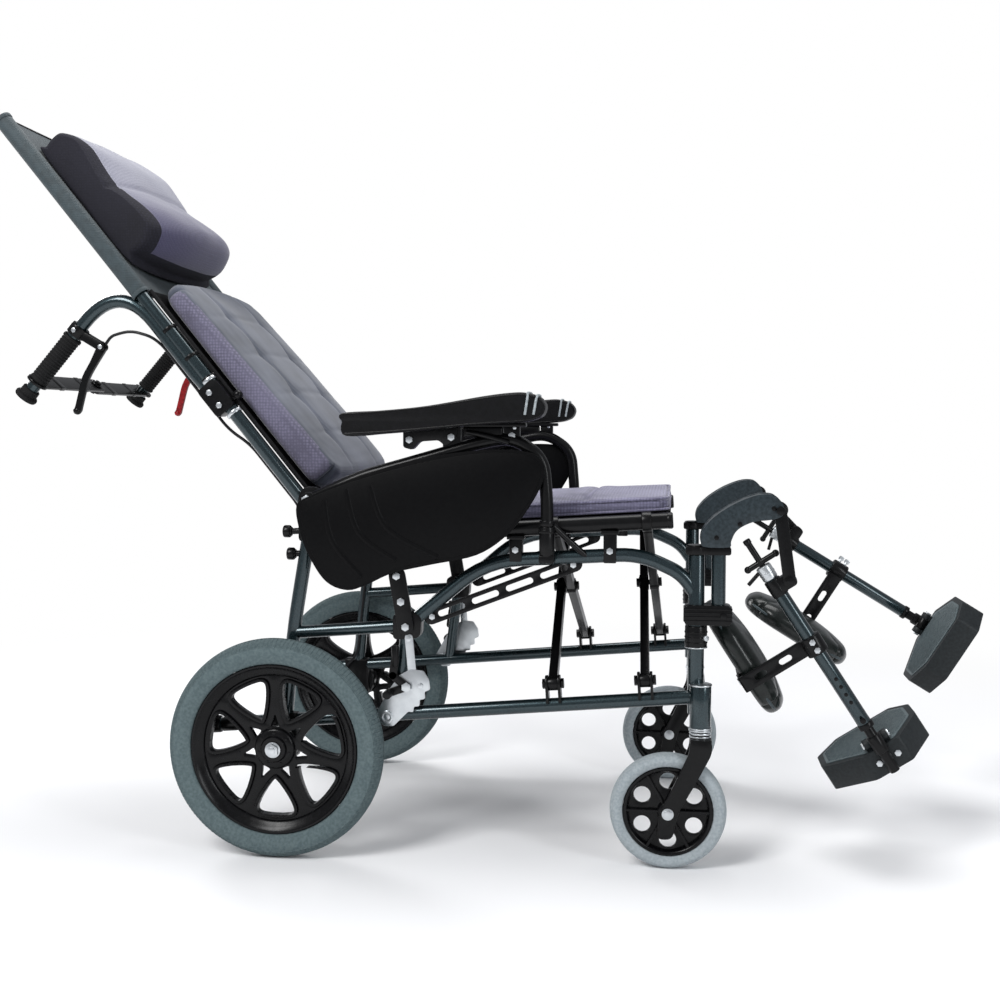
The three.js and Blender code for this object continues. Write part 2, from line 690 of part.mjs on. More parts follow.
function sideFrame(feetOfA) {
  const y = -frameY;
  const parts = [];
  parts.push(rod([side.railRearX, y, side.railRearZ], [post.x, y, side.railFrontZ], tubeRadius));
  parts.push(rod([side.railRearX - side.tipLength / 2, y, railZ(side.railRearX - side.tipLength / 2)],
    [side.railRearX + side.tipLength / 2, y, railZ(side.railRearX + side.tipLength / 2)], side.tipRadius));
  const rearPost = [side.rearPostTop, side.rearPostBend, side.rearPostFoot];
  parts.push(tube(rearPost, y, tubeRadius, side.upperBend, side.bendSteps));
  parts.push(rod([side.rearPostBend[0], y, side.rearPostBend[1]], [side.knuckle[0], y, side.knuckle[1]],
    side.crossRadius));
  parts.push(rod([side.knuckle[0], y, side.knuckle[1]], [side.middleFoot[0], y, side.middleFoot[1]],
    side.crossRadius));
  const upper = [side.knuckle, side.diagonalTop, side.upperFront, side.upperDrop, side.upperEnd];
  parts.push(tube(upper, y, tubeRadius, side.upperBend, side.bendSteps));
  const [knuckleX, knuckleZ] = side.knuckle;
  parts.push(box([knuckleX - side.knuckleHalf, y - side.knuckleThickness, knuckleZ - side.knuckleHalf],
    [knuckleX + side.knuckleHalf, y + side.knuckleThickness, knuckleZ + side.knuckleHalf]));
  parts.push(rod([post.x, y, post.low], [post.x, y, post.top], post.radius, eyeSides));
  parts.push(rod([barrelX, -casterY, post.barrelLow], [barrelX, -casterY, post.barrelHigh],
    post.barrelRadius, eyeSides));
  const stopHigh = hanger.collarLow - touchGap;
  parts.push(rod([post.x, y, hanger.stopLow], [post.x, y, stopHigh], hanger.stopRadius, eyeSides));
  parts.push(slottedBrace());
  // Wheel boss, brake back plate, axle and nut
  const axleEnd = rearWheelY + rear.hubHalf + rear.nutLength + touchGap;
  parts.push(box([-side.bossHalf, y - tubeRadius, side.bossLow],
    [side.bossHalf, y + tubeRadius, side.bossTop]));
  parts.push(rod([0, y, side.axleZ], [0, -axleEnd, side.axleZ], rear.axleRadius));
  const drumFace = rearWheelY - rear.hubHalf - touchGap;
  parts.push(rod([0, y, side.axleZ], [0, -drumFace, side.axleZ], rear.drumRadius, fineSides));
  const nutStart = axleEnd - rear.nutLength;
  parts.push(rod([0, -nutStart, side.axleZ], [0, -axleEnd, side.axleZ], rear.nutRadius, boltSides));
  // Recline and arm pivots on one plate at the top of the rear post
  const [reclineX, reclineZ] = pivots.recline;
  const [armX, armZ] = pivots.arm;
  parts.push(box([reclineX - pivots.plateHalf, y - pivots.plateThickness, pivots.plateLow],
    [reclineX + pivots.plateHalf, y + pivots.plateThickness, pivots.plateHigh]));
  parts.push(rod([reclineX, y, reclineZ], [reclineX, -(caneY - tubeRadius - pivots.collar), reclineZ],
    pivots.pinRadius));
  parts.push(rod([armX, y, armZ], [armX, -(armY + tubeRadius), armZ], pivots.pinRadius));
  // Seat rail cradles
  for (const x of seatBlock.places) {
    const top = seatRailZ(x) - seatRail.radius / Math.cos(deg(seatSlopeDegrees)) - 2 * touchGap;
    parts.push(box([x - seatBlock.halfLength, y - seatBlock.halfWidth, side.diagonalTop[1]],
      [x + seatBlock.halfLength, y + seatBlock.halfWidth, top]));
  }
  // Socket and strut for the foot of the arm
  parts.push(box([armSocket.x - armSocket.half, -(armY + armSocket.half), armSocket.low],
    [armSocket.x + armSocket.half, y, armSocket.high]));
  parts.push(box([armSocket.x - armSocket.half, -(armY + armSocket.half), armSocket.low],
    [armSocket.x + armSocket.half, -armSocket.inboard, socketTop]));
  parts.push(rod([armSocket.x, -(armSocket.inboard + armSocket.half / 2), socketTop - armSocket.half],
    [armSocket.strutEnd[0], y - tubeRadius / 2, armSocket.strutEnd[1]], armSocket.strutRadius, roundSides));
  // Strap that steadies the guard, and two hand knobs on the rear post
  const strapOut = y - side.knuckleThickness;
  parts.push(link(side.knuckle, strap.top, strap.width, strapOut - strap.thickness, strapOut + overrun));
  for (const [x, z] of knobs.places) {
    parts.push(rod([x, y, z], [side.rearPostTop[0], y, z], knobs.stem, roundSides));
    parts.push(rod([x - knobs.length, y, z], [x, y, z], knobs.radius, roundSides));
  }
  for (const along of [fold.rearAlong, fold.frontAlong]) {
    const bracket = footBracket(along, feetOfA);
    parts.push(bracket);
  }
  const bore = rod([barrelX, -casterY, post.barrelLow - overrun],
    [barrelX, -casterY, post.stemTop + overrun], bored(post.stemRadius));
  return cut(join(...parts), bore);
}

// Wheel lock
const lock = {
  // The brake shoe stands off the tyre, and the rest of the lock is placed from the shoe
  tyreGap: 23.12,
  shoeZ: 262,
  pivotAhead: 28,
  pivotZ: 272,
  outline_share: [[-0.45, -0.62], [0.02, -0.55], [0.38, 0.08], [0.45, 0.42], [0.1, 0.5], [-0.5, -0.1]],
  width: 96,
  height: 92,
  centreAhead: 22,
  centreZ: 256,
  plateThickness: 4,
  leverThickness: 5,
  leverWidth: 14,
  bendAhead: 6,
  bendZ: 290,
  topAhead: 10,
  topZ: 320,
  shoeHalf: 9,
  shoeReach: 24,
  boltRadius: 5,
  gripRadius: 5,
  gripLength: 36,
};
const lockReach = rearWheelRadius + lock.tyreGap;
const shoeX = Math.sqrt(lockReach * lockReach - (lock.shoeZ - rearWheelRadius) ** 2);
const lockPlace = {
  shoe: [shoeX, lock.shoeZ],
  pivot: [shoeX + lock.pivotAhead, lock.pivotZ],
  centre: [shoeX + lock.centreAhead, lock.centreZ],
  bend: [shoeX + lock.bendAhead, lock.bendZ],
  top: [shoeX + lock.topAhead, lock.topZ],
};
const lockInner = frameY + tubeFlat + touchGap;

function wheelLockPlate() {
  const [middleX, middleZ] = lockPlace.centre;
  const outline = lock.outline_share.map(([u, v]) => [middleX + u * lock.width, middleZ + v * lock.height]);
  const body = plate(outline, -lockInner, -(lockInner + lock.plateThickness));
  const [pivotX, pivotZ] = lockPlace.pivot;
  const pinEnd = lockInner + lock.plateThickness + lock.leverThickness + overrun;
  const pin = rod([pivotX, -lockInner, pivotZ], [pivotX, -pinEnd, pivotZ], lock.boltRadius);
  return join(body, pin);
}

function wheelLockLever() {
  const near = lockInner + lock.plateThickness + touchGap;
  const far = near + lock.leverThickness;
  const { shoe, pivot, bend, top } = lockPlace;
  const half = lock.leverWidth / 2;
  const gripHalf = lock.gripLength / 2;
  const middle = -(near + far) / 2;
  const parts = [
    link(pivot, bend, lock.leverWidth, -near, -far),
    link(bend, top, lock.leverWidth, -near, -far),
    link(pivot, shoe, lock.leverWidth, -near, -far),
    box([shoe[0] - half, -(near + lock.shoeReach), shoe[1] - half], [shoe[0] + half, -near, shoe[1] + half]),
    rod([top[0], middle, top[1] - gripHalf], [top[0], middle, top[1] + gripHalf], lock.gripRadius, eyeSides),
  ];
  const bore = rod([pivot[0], -near + overrun, pivot[1]], [pivot[0], -far - overrun, pivot[1]],
    bored(lock.boltRadius));
  return cut(join(...parts), bore);
}

// Seat, in the fold frame: rails at the sides, a sling board and a cushion on it
const seat = {
  baseThickness: 8,
  baseRear: -405,
  baseFront: 122,
  cushionLength: 532,
  cushionWidth: 430,
  cushionThickness: 34,
  crown: 9,
  drawIn: 6,
  channelDepth: 4,
  lift: 12.8,
};

function seatRailTube() {
  return inFoldFrame(rod([seatRail.rear, -frameY, fold.rise], [seatRail.front, -frameY, fold.rise],
    seatRail.radius, fineSides));
}

function seatBase() {
  const halfWidth = frameY - seatRail.eyeRadius - touchGap;
  const top = fold.rise + seatRail.radius;
  const low = top - seat.baseThickness;
  return inFoldFrame(box([seat.baseRear, -halfWidth, low], [seat.baseFront, halfWidth, top]));
}

function seatCushion() {
  const body = cushion({
    length: seat.cushionLength,
    width: seat.cushionWidth,
    thickness: seat.cushionThickness,
    crown: seat.crown,
    drawIn: seat.drawIn,
    channels_share: [-0.5, 0, 0.5],
    dent: seat.channelDepth,
    steps: [12, 6],
  });
  const middle = (seat.baseRear + seat.baseFront) / 2;
  const underside = seat.cushionThickness / 2 * cushionRim.belt_share;
  return inFoldFrame(body.translate(middle, 0, fold.rise + seat.lift + underside));
}

// Back, upright about the recline pivot: a points forward, h points up along the cane
const back = {
  top: 818,
  handlePath: [[-6, 236], [-12, 292], [-12, 506], [-258, 463.6]],
  handleBend: 95,
  handleBendSteps: 5,
  gripStart: -135,
  gripEnd: -229,
  gripRadius: 15,
  capStart: -246.5,
  flangeStart: -258,
  flangeEnd: -267,
  flangeRadius: 19,
  clampLow: 220,
  clampHigh: 278,
  clampRear: -24,
  clampFront: 13,
  clampOut: 15,
  knobRadius: 8,
  knobLength: 14,
  knobH: 232,
  knobOut: 5,
  eyeRadius: 15,
  panelLow: 24,
  panelHigh: 436,
  panelThickness: 6,
  panelForward: 12,
  cushionLength: 417,
  cushionWidth: 384,
  cushionLow: 34,
  cushionThickness: 54,
  cushionCrown: 14,
  cushionBulge: 8,
  cushionFoot_share: 1.45,
  cushionHead_share: 0.95,
  tuftDepth: 5,
  headPanelLow: 462,
  headPanelHigh: 836,
  headPanelHalf: 6,
  sleeveRadius: 14.5,
  spreaderHeight: 32,
  spreaderThickness: 5,
  spreaderEyeRadius: 19,
};
const [, , handleRear, handleEnd] = back.handlePath;
const handleSlope = (handleEnd[1] - handleRear[1]) / (handleEnd[0] - handleRear[0]);

function handlePlace(a) {
  return [a, -caneY, back.handlePath[2][1] + (a - back.handlePath[2][0]) * handleSlope];
}

function backCane() {
  const y = -caneY;
  const main = rod([0, y, 0], [0, y, back.top], tubeRadius);
  const handle = tube(back.handlePath, y, tubeRadius, back.handleBend, back.handleBendSteps);
  const cap = rod(handlePlace(back.capStart), handlePlace(back.flangeEnd), back.gripRadius);
  const flange = rod(handlePlace(back.flangeStart), handlePlace(back.flangeEnd), back.flangeRadius);
  const eye = rod([0, y - tubeRadius, 0], [0, y + tubeRadius, 0], back.eyeRadius, eyeSides);
  const clamp = box([back.clampRear, y - back.clampOut, back.clampLow],
    [back.clampFront, y + tubeRadius, back.clampHigh]);
  const knob = rod([back.clampRear - back.knobLength, y - back.knobOut, back.knobH],
    [back.clampRear + overrun, y - back.knobOut, back.knobH], back.knobRadius);
  const bore = rod([0, y - tubeRadius - overrun, 0], [0, y + tubeRadius + overrun, 0],
    bored(pivots.pinRadius));
  return cut(join(main, handle, cap, flange, eye, clamp, knob), bore);
}

function pushGrip() {
  const outer = rod(handlePlace(back.gripStart), handlePlace(back.gripEnd), back.gripRadius);
  const bore = rod(handlePlace(back.gripStart + overrun), handlePlace(back.gripEnd - overrun),
    tubeRadius + touchGap);
  return cut(outer, bore);
}

// Brake lever under the push grip, on a clamp round the handle tube
const brake = {
  clampA: -122,
  clampHalf: 9,
  clampRadius: 16,
  pivot: [-107, 440],
  width: 14,
  leverMiddle: [-161, 419],
  leverEnd: [-208, 389],
  tipWidth: 9,
  thickness: 8,
  pinRadius: 4,
  cableRadius: 2.5,
  cablePlaces: [[-83, 444], [-52, 430], [-31, 400]],
  cableA: -27.2,
  cableIn: 8,
  cableLowA: -14.2,
  cableFoot: 26,
  cableBend: 20,
  // The stretch below the recline hinge: world [x, z] places inside the frame, then the inner face of the wheel boss
  cableFramePlaces: [[32, 505], [18, 352], [4, 232], [-20, 206]],
  cableFrameY: -222,
  bossPlace: [-20, 190],
};

function brakeLever() {
  const y = -caneY;
  const half = brake.thickness / 2;
  const bar = link(brake.pivot, brake.leverMiddle, brake.width, y - half, y + half);
  const tip = link(brake.leverMiddle, brake.leverEnd, brake.tipWidth, y - half, y + half);
  const bore = rod([brake.pivot[0], y - half - overrun, brake.pivot[1]],
    [brake.pivot[0], y + half + overrun, brake.pivot[1]], bored(brake.pinRadius));
  return cut(join(bar, tip), bore);
}

// Fixed clamp and pin for the lever; part of the cane
function brakeClamp() {
  const y = -caneY;
  const gap = brake.thickness / 2 + touchGap;
  const reach = gap + brake.pinRadius;
  const ring = rod(handlePlace(brake.clampA - brake.clampHalf), handlePlace(brake.clampA + brake.clampHalf),
    brake.clampRadius);
  const hold = handlePlace(brake.clampA);
  const ears = [-1, 1].map(
    (s) => link([hold[0], hold[2]], brake.pivot, brake.width, y + s * gap, y + s * reach),
  );
  const pin = rod([brake.pivot[0], y - reach, brake.pivot[1]], [brake.pivot[0], y + reach, brake.pivot[1]],
    brake.pinRadius);
  return [ring, ...ears, pin];
}

function caneWithClamp() {
  return join(backCane(), ...brakeClamp());
}

// A world [x, z] place in the tilted frame of the back
function inBack(x, z) {
  const turn = deg(reclineDegrees);
  const dx = x - pivots.recline[0];
  const dz = z - pivots.recline[1];
  return [dx * Math.cos(turn) + dz * Math.sin(turn), dz * Math.cos(turn) - dx * Math.sin(turn)];
}

// The brake cable leaves the lever, dips behind the handle tube, follows the cane to its foot and the rear
// post down to the boss at the wheel
function brakeCable() {
  const y = -caneY;
  const along = y + brake.cableIn;
  const place = ([a, h], at) => new THREE.Vector3(a, at, h);
  const [, lastH] = brake.cablePlaces[brake.cablePlaces.length - 1];
  const boss = inBack(...brake.bossPlace);
  const points = [
    place([brake.pivot[0] + brake.width / 2 + 3 * touchGap, brake.pivot[1]], y),
    ...brake.cablePlaces.map((spot) => place(spot, y)),
    place([brake.cableA, lastH - brake.cableBend], along),
    place([brake.cableA, back.clampLow - brake.cableBend], along),
    place([brake.cableLowA, back.clampLow - 3 * brake.cableBend], along),
    place([brake.cableLowA, brake.cableFoot], along),
    ...brake.cableFramePlaces.map((spot) => place(inBack(...spot), brake.cableFrameY)),
    place(boss, brake.cableFrameY),
    place(boss, -(frameY - tubeRadius - touchGap)),
  ];
  return geometryOf(solidOf(sweep(circle(brake.cableRadius), rounded(points, brake.cableBend, 2))));
}

function backPanel() {
  const half = caneY - tubeRadius - touchGap;
  return box([back.panelForward, -half, back.panelLow],
    [back.panelForward + back.panelThickness, half, back.panelHigh]);
}

const cushionFace = back.panelForward + back.panelThickness + touchGap;

function backCushion() {
  const body = cushion({
    length: back.cushionLength,
    width: back.cushionWidth,
    thickness: back.cushionThickness,
    crown: back.cushionCrown,
    drawIn: -back.cushionBulge,
    tufts_share: [[-0.62, -0.45], [-0.62, 0.45], [-0.2, -0.45], [-0.2, 0.45], [0.22, -0.45], [0.22, 0.45],
      [0.62, -0.45], [0.62, 0.45]],
    dent: back.tuftDepth,
    steps: [12, 8],
    taper: (share) => back.cushionFoot_share + (back.cushionHead_share - back.cushionFoot_share) * share,
  });
  const underside = back.cushionThickness / 2 * cushionRim.belt_share * back.cushionFoot_share;
  // The cushion's length stands up and its crown looks forward
  body.rotateY(-Math.PI / 2).scale(-1, 1, 1);
  const forward = geometryOf(solidOf(body));
  return forward.translate(cushionFace + underside, 0, back.cushionLow + back.cushionLength / 2);
}

// The upper sling: a sheet with a sleeve at each side that slips over the top of the cane
function headPanel() {
  const { headPanelHalf, headPanelLow, headPanelHigh, sleeveRadius } = back;
  const sheet = box([-headPanelHalf, -caneY, headPanelLow], [headPanelHalf, caneY, headPanelHigh]);
  const sleeves = [-1, 1].map((s) => rod([0, s * caneY, headPanelLow], [0, s * caneY, headPanelHigh],
    sleeveRadius, fineSides));
  const bores = [-1, 1].map((s) => rod([0, s * caneY, headPanelLow - overrun],
    [0, s * caneY, back.top + touchGap], bored(tubeRadius)));
  return cut(join(sheet, ...sleeves), ...bores);
}

// Head cushion: a wedge that rolls forward into a neck roll along its lower edge. Its section is given at
// the middle and at the ends, and runs from one to the other.
const head = {
  middle: [[0, 530], [0, 765], [14, 784], [44, 784], [62, 762], [74, 731], [82, 693], [80, 648], [81, 620],
    [92, 587], [101, 556], [103, 535], [95, 519], [75, 508], [47, 503], [16, 513]],
  end: [[0, 545], [0, 757], [14, 771], [40, 774], [52, 765], [60, 750], [61, 735], [57, 705], [53, 678],
    [54, 651], [63, 618], [69, 582], [67, 556], [53, 544], [36, 537], [14, 538]],
  halfWidth: 182,
  mixPower: 3,
  stations_share: [-1, -0.85, -0.5, 0, 0.5, 0.85, 1],
};

function headCushion() {
  const positions = [];
  const faces = [];
  const count = head.middle.length;
  const face = back.headPanelHalf + 2 * touchGap;
  for (const v of head.stations_share) {
    const mix = Math.pow(Math.abs(v), head.mixPower);
    for (let i = 0; i < count; i += 1) {
      const a = head.middle[i][0] + (head.end[i][0] - head.middle[i][0]) * mix;
      const h = head.middle[i][1] + (head.end[i][1] - head.middle[i][1]) * mix;
      positions.push(face + a, v * head.halfWidth, h);
    }
  }
  const lastRing = head.stations_share.length - 1;
  for (let r = 0; r < lastRing; r += 1) {
    for (let i = 0; i < count; i += 1) {
      const next = (i + 1) % count;
      const a = r * count + i;
      const b = r * count + next;
      faces.push(a, b, b + count, a, b + count, a + count);
    }
  }
  for (const [r, flip] of [[0, true], [lastRing, false]]) {
    const start = r * count;
    const centre = positions.length / 3;
    const sum = head.end.reduce(([a, h], [nextA, nextH]) => [a + nextA, h + nextH]);
    positions.push(face + sum[0] / count, head.stations_share[r] * head.halfWidth, sum[1] / count);
    for (let i = 0; i < count; i += 1) {
      const next = (i + 1) % count;
      if (flip) faces.push(start + next, start + i, centre);
      else faces.push(start + i, start + next, centre);
    }
  }
  return meshOf(positions, faces);
}

// One half of the folding bar between the push handles, held by an eye that turns on the handle tube.
// The right half laps in front of the left half at the middle.
function spreaderHalf(lapForward) {
  const thickness = back.spreaderThickness;
  const start = back.gripEnd - touchGap;
  const stop = start - 2 * thickness - touchGap;
  const middle = handlePlace((start + stop) / 2);
  // The bar stands square to the handle tube, about which it turns
  const low = lapForward ? touchGap / 2 : -touchGap / 2 - thickness;
  const half = back.spreaderHeight / 2;
  const bar = box([low, -caneY, -half], [low + thickness, half, half]);
  bar.rotateY(-Math.atan(handleSlope)).translate(middle[0], 0, middle[2]);
  const eye = rod(handlePlace(stop), handlePlace(start), back.spreaderEyeRadius);
  const bore = rod(handlePlace(stop - overrun), handlePlace(start + overrun), bored(tubeRadius));
  return cut(join(bar, eye), bore);
}

// Arm: frame tube, pad and guard
const arm = {
  path: [[134, 605], [230, 632], [328, 660], [376, 668], [424, 636], [430, 566]],
  tubeRadius: 10,
  bend: 26,
  barRear: 140,
  barFront: 398,
  barThickness: 6,
  barHalf: 9,
  padBottom: 690,
  postX: 282,
  postHalf: 14,
  postLow: 640,
  padHalfWidth: 26,
  padOut: 18,
  padOutline: [[118, 690], [396, 690], [420, 698], [431, 714], [420, 731], [398, 736], [340, 731], [250, 716],
    [118, 705]],
  guardOutline: [[36, 560], [60, 577], [134, 606], [230, 634], [330, 648], [400, 646], [426, 628], [424, 598],
    [398, 552], [368, 516], [322, 486], [250, 470], [190, 456], [150, 438], [118, 428], [84, 440], [58, 476],
    [42, 516]],
  guardThickness: 6,
};

function armFrame() {
  const y = -armY;
  const path = [pivots.arm, ...arm.path, [armSocket.x, socketTop + touchGap]];
  const main = tube(path, y, arm.tubeRadius, arm.bend, 2);
  const [armX, armZ] = pivots.arm;
  const eye = rod([armX, y - arm.tubeRadius, armZ], [armX, y + arm.tubeRadius, armZ],
    pivots.armEyeRadius, eyeSides);
  const bar = box([arm.barRear, y - arm.barHalf, arm.padBottom - arm.barThickness - touchGap],
    [arm.barFront, y + arm.barHalf, arm.padBottom - touchGap]);
  const riser = box([arm.postX - arm.postHalf, y - arm.tubeRadius / 2, arm.postLow],
    [arm.postX + arm.postHalf, y + arm.tubeRadius / 2, arm.padBottom - arm.barThickness]);
  const front = box([arm.path[3][0] - arm.postHalf, y - arm.tubeRadius / 2, arm.path[3][1] - arm.postHalf],
    [arm.path[3][0] + arm.postHalf / 2, y + arm.tubeRadius / 2, arm.padBottom - arm.barThickness]);
  const bore = rod([armX, y - arm.tubeRadius - overrun, armZ], [armX, y + arm.tubeRadius + overrun, armZ],
    bored(pivots.pinRadius));
  return cut(join(main, eye, bar, riser, front), bore);
}

function armPad() {
  // The pad stands further out than its frame, so that the rising seat rail clears it when the chair folds
  const middle = armY + arm.padOut;
  return plate(arm.padOutline, -(middle - arm.padHalfWidth), -(middle + arm.padHalfWidth));
}

function sideGuard() {
  const near = armY + arm.tubeRadius + touchGap;
  const clear = near + pivots.armEyeRadius - arm.tubeRadius;
  const sheet = plate(arm.guardOutline, -near, -(near + arm.guardThickness));
  const pinClear = rod([pivots.arm[0], -armY, pivots.arm[1]], [pivots.arm[0], -clear, pivots.arm[1]],
    bored(pivots.pinRadius));
  return cut(sheet, pinClear);
}

// Legrest hanger, right-hand side
const hanger = {
  postX: 692.5,
  collarLow: 378,
  collarHigh: 412,
  collarRear: 640,
  collarFront: 713,
  collarHalf: 18,
  stopLow: 343,
  stopRadius: 17,
  plateRear: 635,
  plateFront: 711,
  plateHalf: 13,
  plateThickness: 13,
  elevation: [783, 558],
  rise: [[692.5, 515], [722, 553]],
  eyeRadius: 12,
  eyeHalf: 11,
  pinRadius: 5,
  bend: 24,
};
// A cover over the hanger's bend: solid along its top and rear, with two cheeks, and open below
const knee = {
  outline: [[671, 501.4], [664.5, 508], [665, 521], [671, 533], [685, 548], [708, 564], [730, 575],
    [752, 582],
    [771, 582], [780, 576], [787, 566], [788, 555], [782, 547.5], [767, 543.5], [745, 541], [727, 533.5],
    [716, 524], [710, 510.5], [706.5, 501.4]],
  cavity: [[679, 490], [679, 524], [690, 541], [710, 558], [731, 569], [752, 571.5], [800, 571.5],
    [800, 490]],
  halfWidth: 24,
  cheek: 5,
};

function legHanger() {
  const y = -frameY;
  const [ex, ez] = hanger.elevation;
  const pinEnd = y - hanger.eyeHalf - leg.linkThickness - 2 * touchGap;
  const parts = [
    tube([[hanger.postX, hanger.collarLow], ...hanger.rise, hanger.elevation], y, tubeRadius, hanger.bend),
    box([hanger.plateRear, y - hanger.plateHalf, post.top + touchGap],
      [hanger.plateFront, y + hanger.plateHalf, post.top + touchGap + hanger.plateThickness]),
    box([hanger.collarRear, y - hanger.collarHalf, hanger.collarLow],
      [hanger.collarFront, y + hanger.collarHalf, hanger.collarHigh]),
    rod([ex, y - hanger.eyeHalf, ez], [ex, y + hanger.eyeHalf, ez], hanger.eyeRadius),
    rod([ex, pinEnd, ez], [ex, y + hanger.eyeHalf, ez], hanger.pinRadius),
  ];
  const bore = rod([post.x, y, hanger.collarLow - overrun], [post.x, y, hanger.collarHigh + overrun],
    bored(post.radius, fineSides), fineSides);
  return cut(join(...parts), bore);
}

function kneePanel() {
  const near = frameY + knee.halfWidth;
  const far = frameY - knee.halfWidth;
  return cut(plate(knee.outline, -far, -near), plate(knee.cavity, -(far + knee.cheek), -(near - knee.cheek)));
}

// Elevating leg, hanging straight down from the elevation pivot; x points to the front
const leg = {
  tubeTop: 83,
  tubeEnd: 350,
  linkForward: 22,
  linkDrop: 98,
  linkWidth: 19,
  linkThickness: 6,
  bossHalf: 11,
  bossFront: 9,
  stemRadius: 8,
  stemTop: 235,
  stemEnd: 430,
  socketTop: 228,
  clampZ: 202,
  clampHalf: 15,
  clampRadius: 17,
};
// How far each leg tube stands behind its elevation pivot
const legSetting = {
  right: -67.6,
  left: -48.6,
};
const release = {
  knuckleRadius: 12,
  knuckleTop: 58,
  rodTop: 13,
  rodRadius: 4,
  barZ: 53,
  barRear: 22,
  barFront: 27,
};
const calf = {
  padBack: -190,
  padThickness: 50,
  padCrown: 14,
  padBulge: 2,
  padLength: 200,
  padWidth: 150,
  padOuterY: 27,
  padCentre: 181,
  barWidth: 26,
  barThickness: 6,
  barY: 15,
  plateThickness: 4,
  plateReach: 80,
  slotWidth: 10,
  slotLength: 22,
};
const slotPlaces_share = [0.3, 0.7];
const foot = {
  top: 390,
  thickness: 42,
  rear: -95,
  front: 75,
  outerY: 9.5,
  width: 165,
  outerRear: -30,
  outerFront: 33,
  outerCorner: 65,
  innerRear: -55,
  innerFront: 45,
  innerCorner: 38,
  pinY: 22,
  pinRadius: 4,
  barrelRadius: 9,
  barrelHalf: 10,
  earLength: 10,
};

function legTube(tubeX) {
  const linkFrom = -(hanger.eyeHalf + touchGap);
  const linkTo = linkFrom - leg.linkThickness;
  const linkEnd = [tubeX + leg.linkForward, -leg.linkDrop];
  const body = rod([tubeX, 0, -leg.tubeTop], [tubeX, 0, -leg.tubeEnd], tubeRadius, fineSides);
  const bar = link([0, 0], linkEnd, leg.linkWidth, linkFrom, linkTo);
  const boss = box([tubeX, linkTo, linkEnd[1] - leg.bossHalf],
    [linkEnd[0] + leg.bossFront, tubeRadius, linkEnd[1] + leg.bossHalf]);
  const pinBore = rod([0, linkFrom + overrun, 0], [0, linkTo - overrun, 0], bored(hanger.pinRadius));
  const socketRadius = leg.stemRadius + touchGap / Math.cos(Math.PI / roundSides);
  const stemBore = rod([tubeX, 0, -leg.socketTop], [tubeX, 0, -leg.tubeEnd - overrun], socketRadius);
  return cut(join(body, bar, boss), pinBore, stemBore);
}

function releaseLever(x) {
  return join(
    rod([x, 0, -leg.tubeTop + touchGap], [x, 0, -release.knuckleTop], release.knuckleRadius),
    rod([x, 0, -release.knuckleTop - overrun], [x, 0, -release.rodTop], release.rodRadius),
    rod([x - release.barRear, 0, -release.barZ], [x + release.barFront, 0, -release.barZ], release.rodRadius),
  );
}

function calfBracket(x) {
  const z = -leg.clampZ;
  const ring = rod([x, 0, z - leg.clampHalf], [x, 0, z + leg.clampHalf], leg.clampRadius, fineSides);
  const backX = calf.padBack - touchGap;
  const bar = box([backX - calf.plateThickness, calf.barY - calf.barThickness, z - calf.barWidth / 2],
    [x, calf.barY, z + calf.barWidth / 2]);
  const backPlate = box([backX - calf.plateThickness, calf.barY - calf.barThickness, z - calf.barWidth / 2],
    [backX, calf.barY + calf.plateReach, z + calf.barWidth / 2]);
  const free = Math.abs(backX - x) - leg.clampRadius;
  const slots = slotPlaces_share.map((share) => {
    const middle = x - leg.clampRadius - free * share;
    const slotLow = calf.barY - calf.barThickness - overrun;
    return box([middle - calf.slotLength / 2, slotLow, z - calf.slotWidth / 2],
      [middle + calf.slotLength / 2, calf.barY + overrun, z + calf.slotWidth / 2]);
  });
  const bore = rod([x, 0, z - leg.clampHalf - overrun], [x, 0, z + leg.clampHalf + overrun],
    bored(tubeRadius, fineSides), fineSides);
  return cut(join(ring, bar, backPlate), bore, ...slots);
}

function calfPad() {
  const body = cushion({
    length: calf.padLength,
    width: calf.padWidth,
    thickness: calf.padThickness,
    crown: calf.padCrown,
    drawIn: -calf.padBulge,
    steps: [6, 4],
  });
  body.rotateY(-Math.PI / 2).scale(-1, 1, 1);
  const underside = calf.padThickness / 2 * cushionRim.belt_share;
  return geometryOf(solidOf(body)).translate(calf.padBack + underside, calf.padOuterY + calf.padWidth / 2,
    -calf.padCentre);
}

function footStem(x) {
  const pinZ = -(foot.top - foot.barrelRadius - touchGap * 2);
  const stem = rod([x, 0, -leg.stemTop], [x, 0, -leg.stemEnd], leg.stemRadius);
  const barrel = rod([x - foot.barrelHalf, foot.pinY, pinZ], [x + foot.barrelHalf, foot.pinY, pinZ],
    foot.barrelRadius);
  const web = box([x - leg.stemRadius / 2, 0, pinZ - foot.pinRadius],
    [x + leg.stemRadius / 2, foot.pinY, pinZ + foot.pinRadius]);
  const bore = rod([x - foot.barrelHalf - overrun, foot.pinY, pinZ],
    [x + foot.barrelHalf + overrun, foot.pinY, pinZ], bored(foot.pinRadius));
  return cut(join(stem, barrel, web), bore);
}

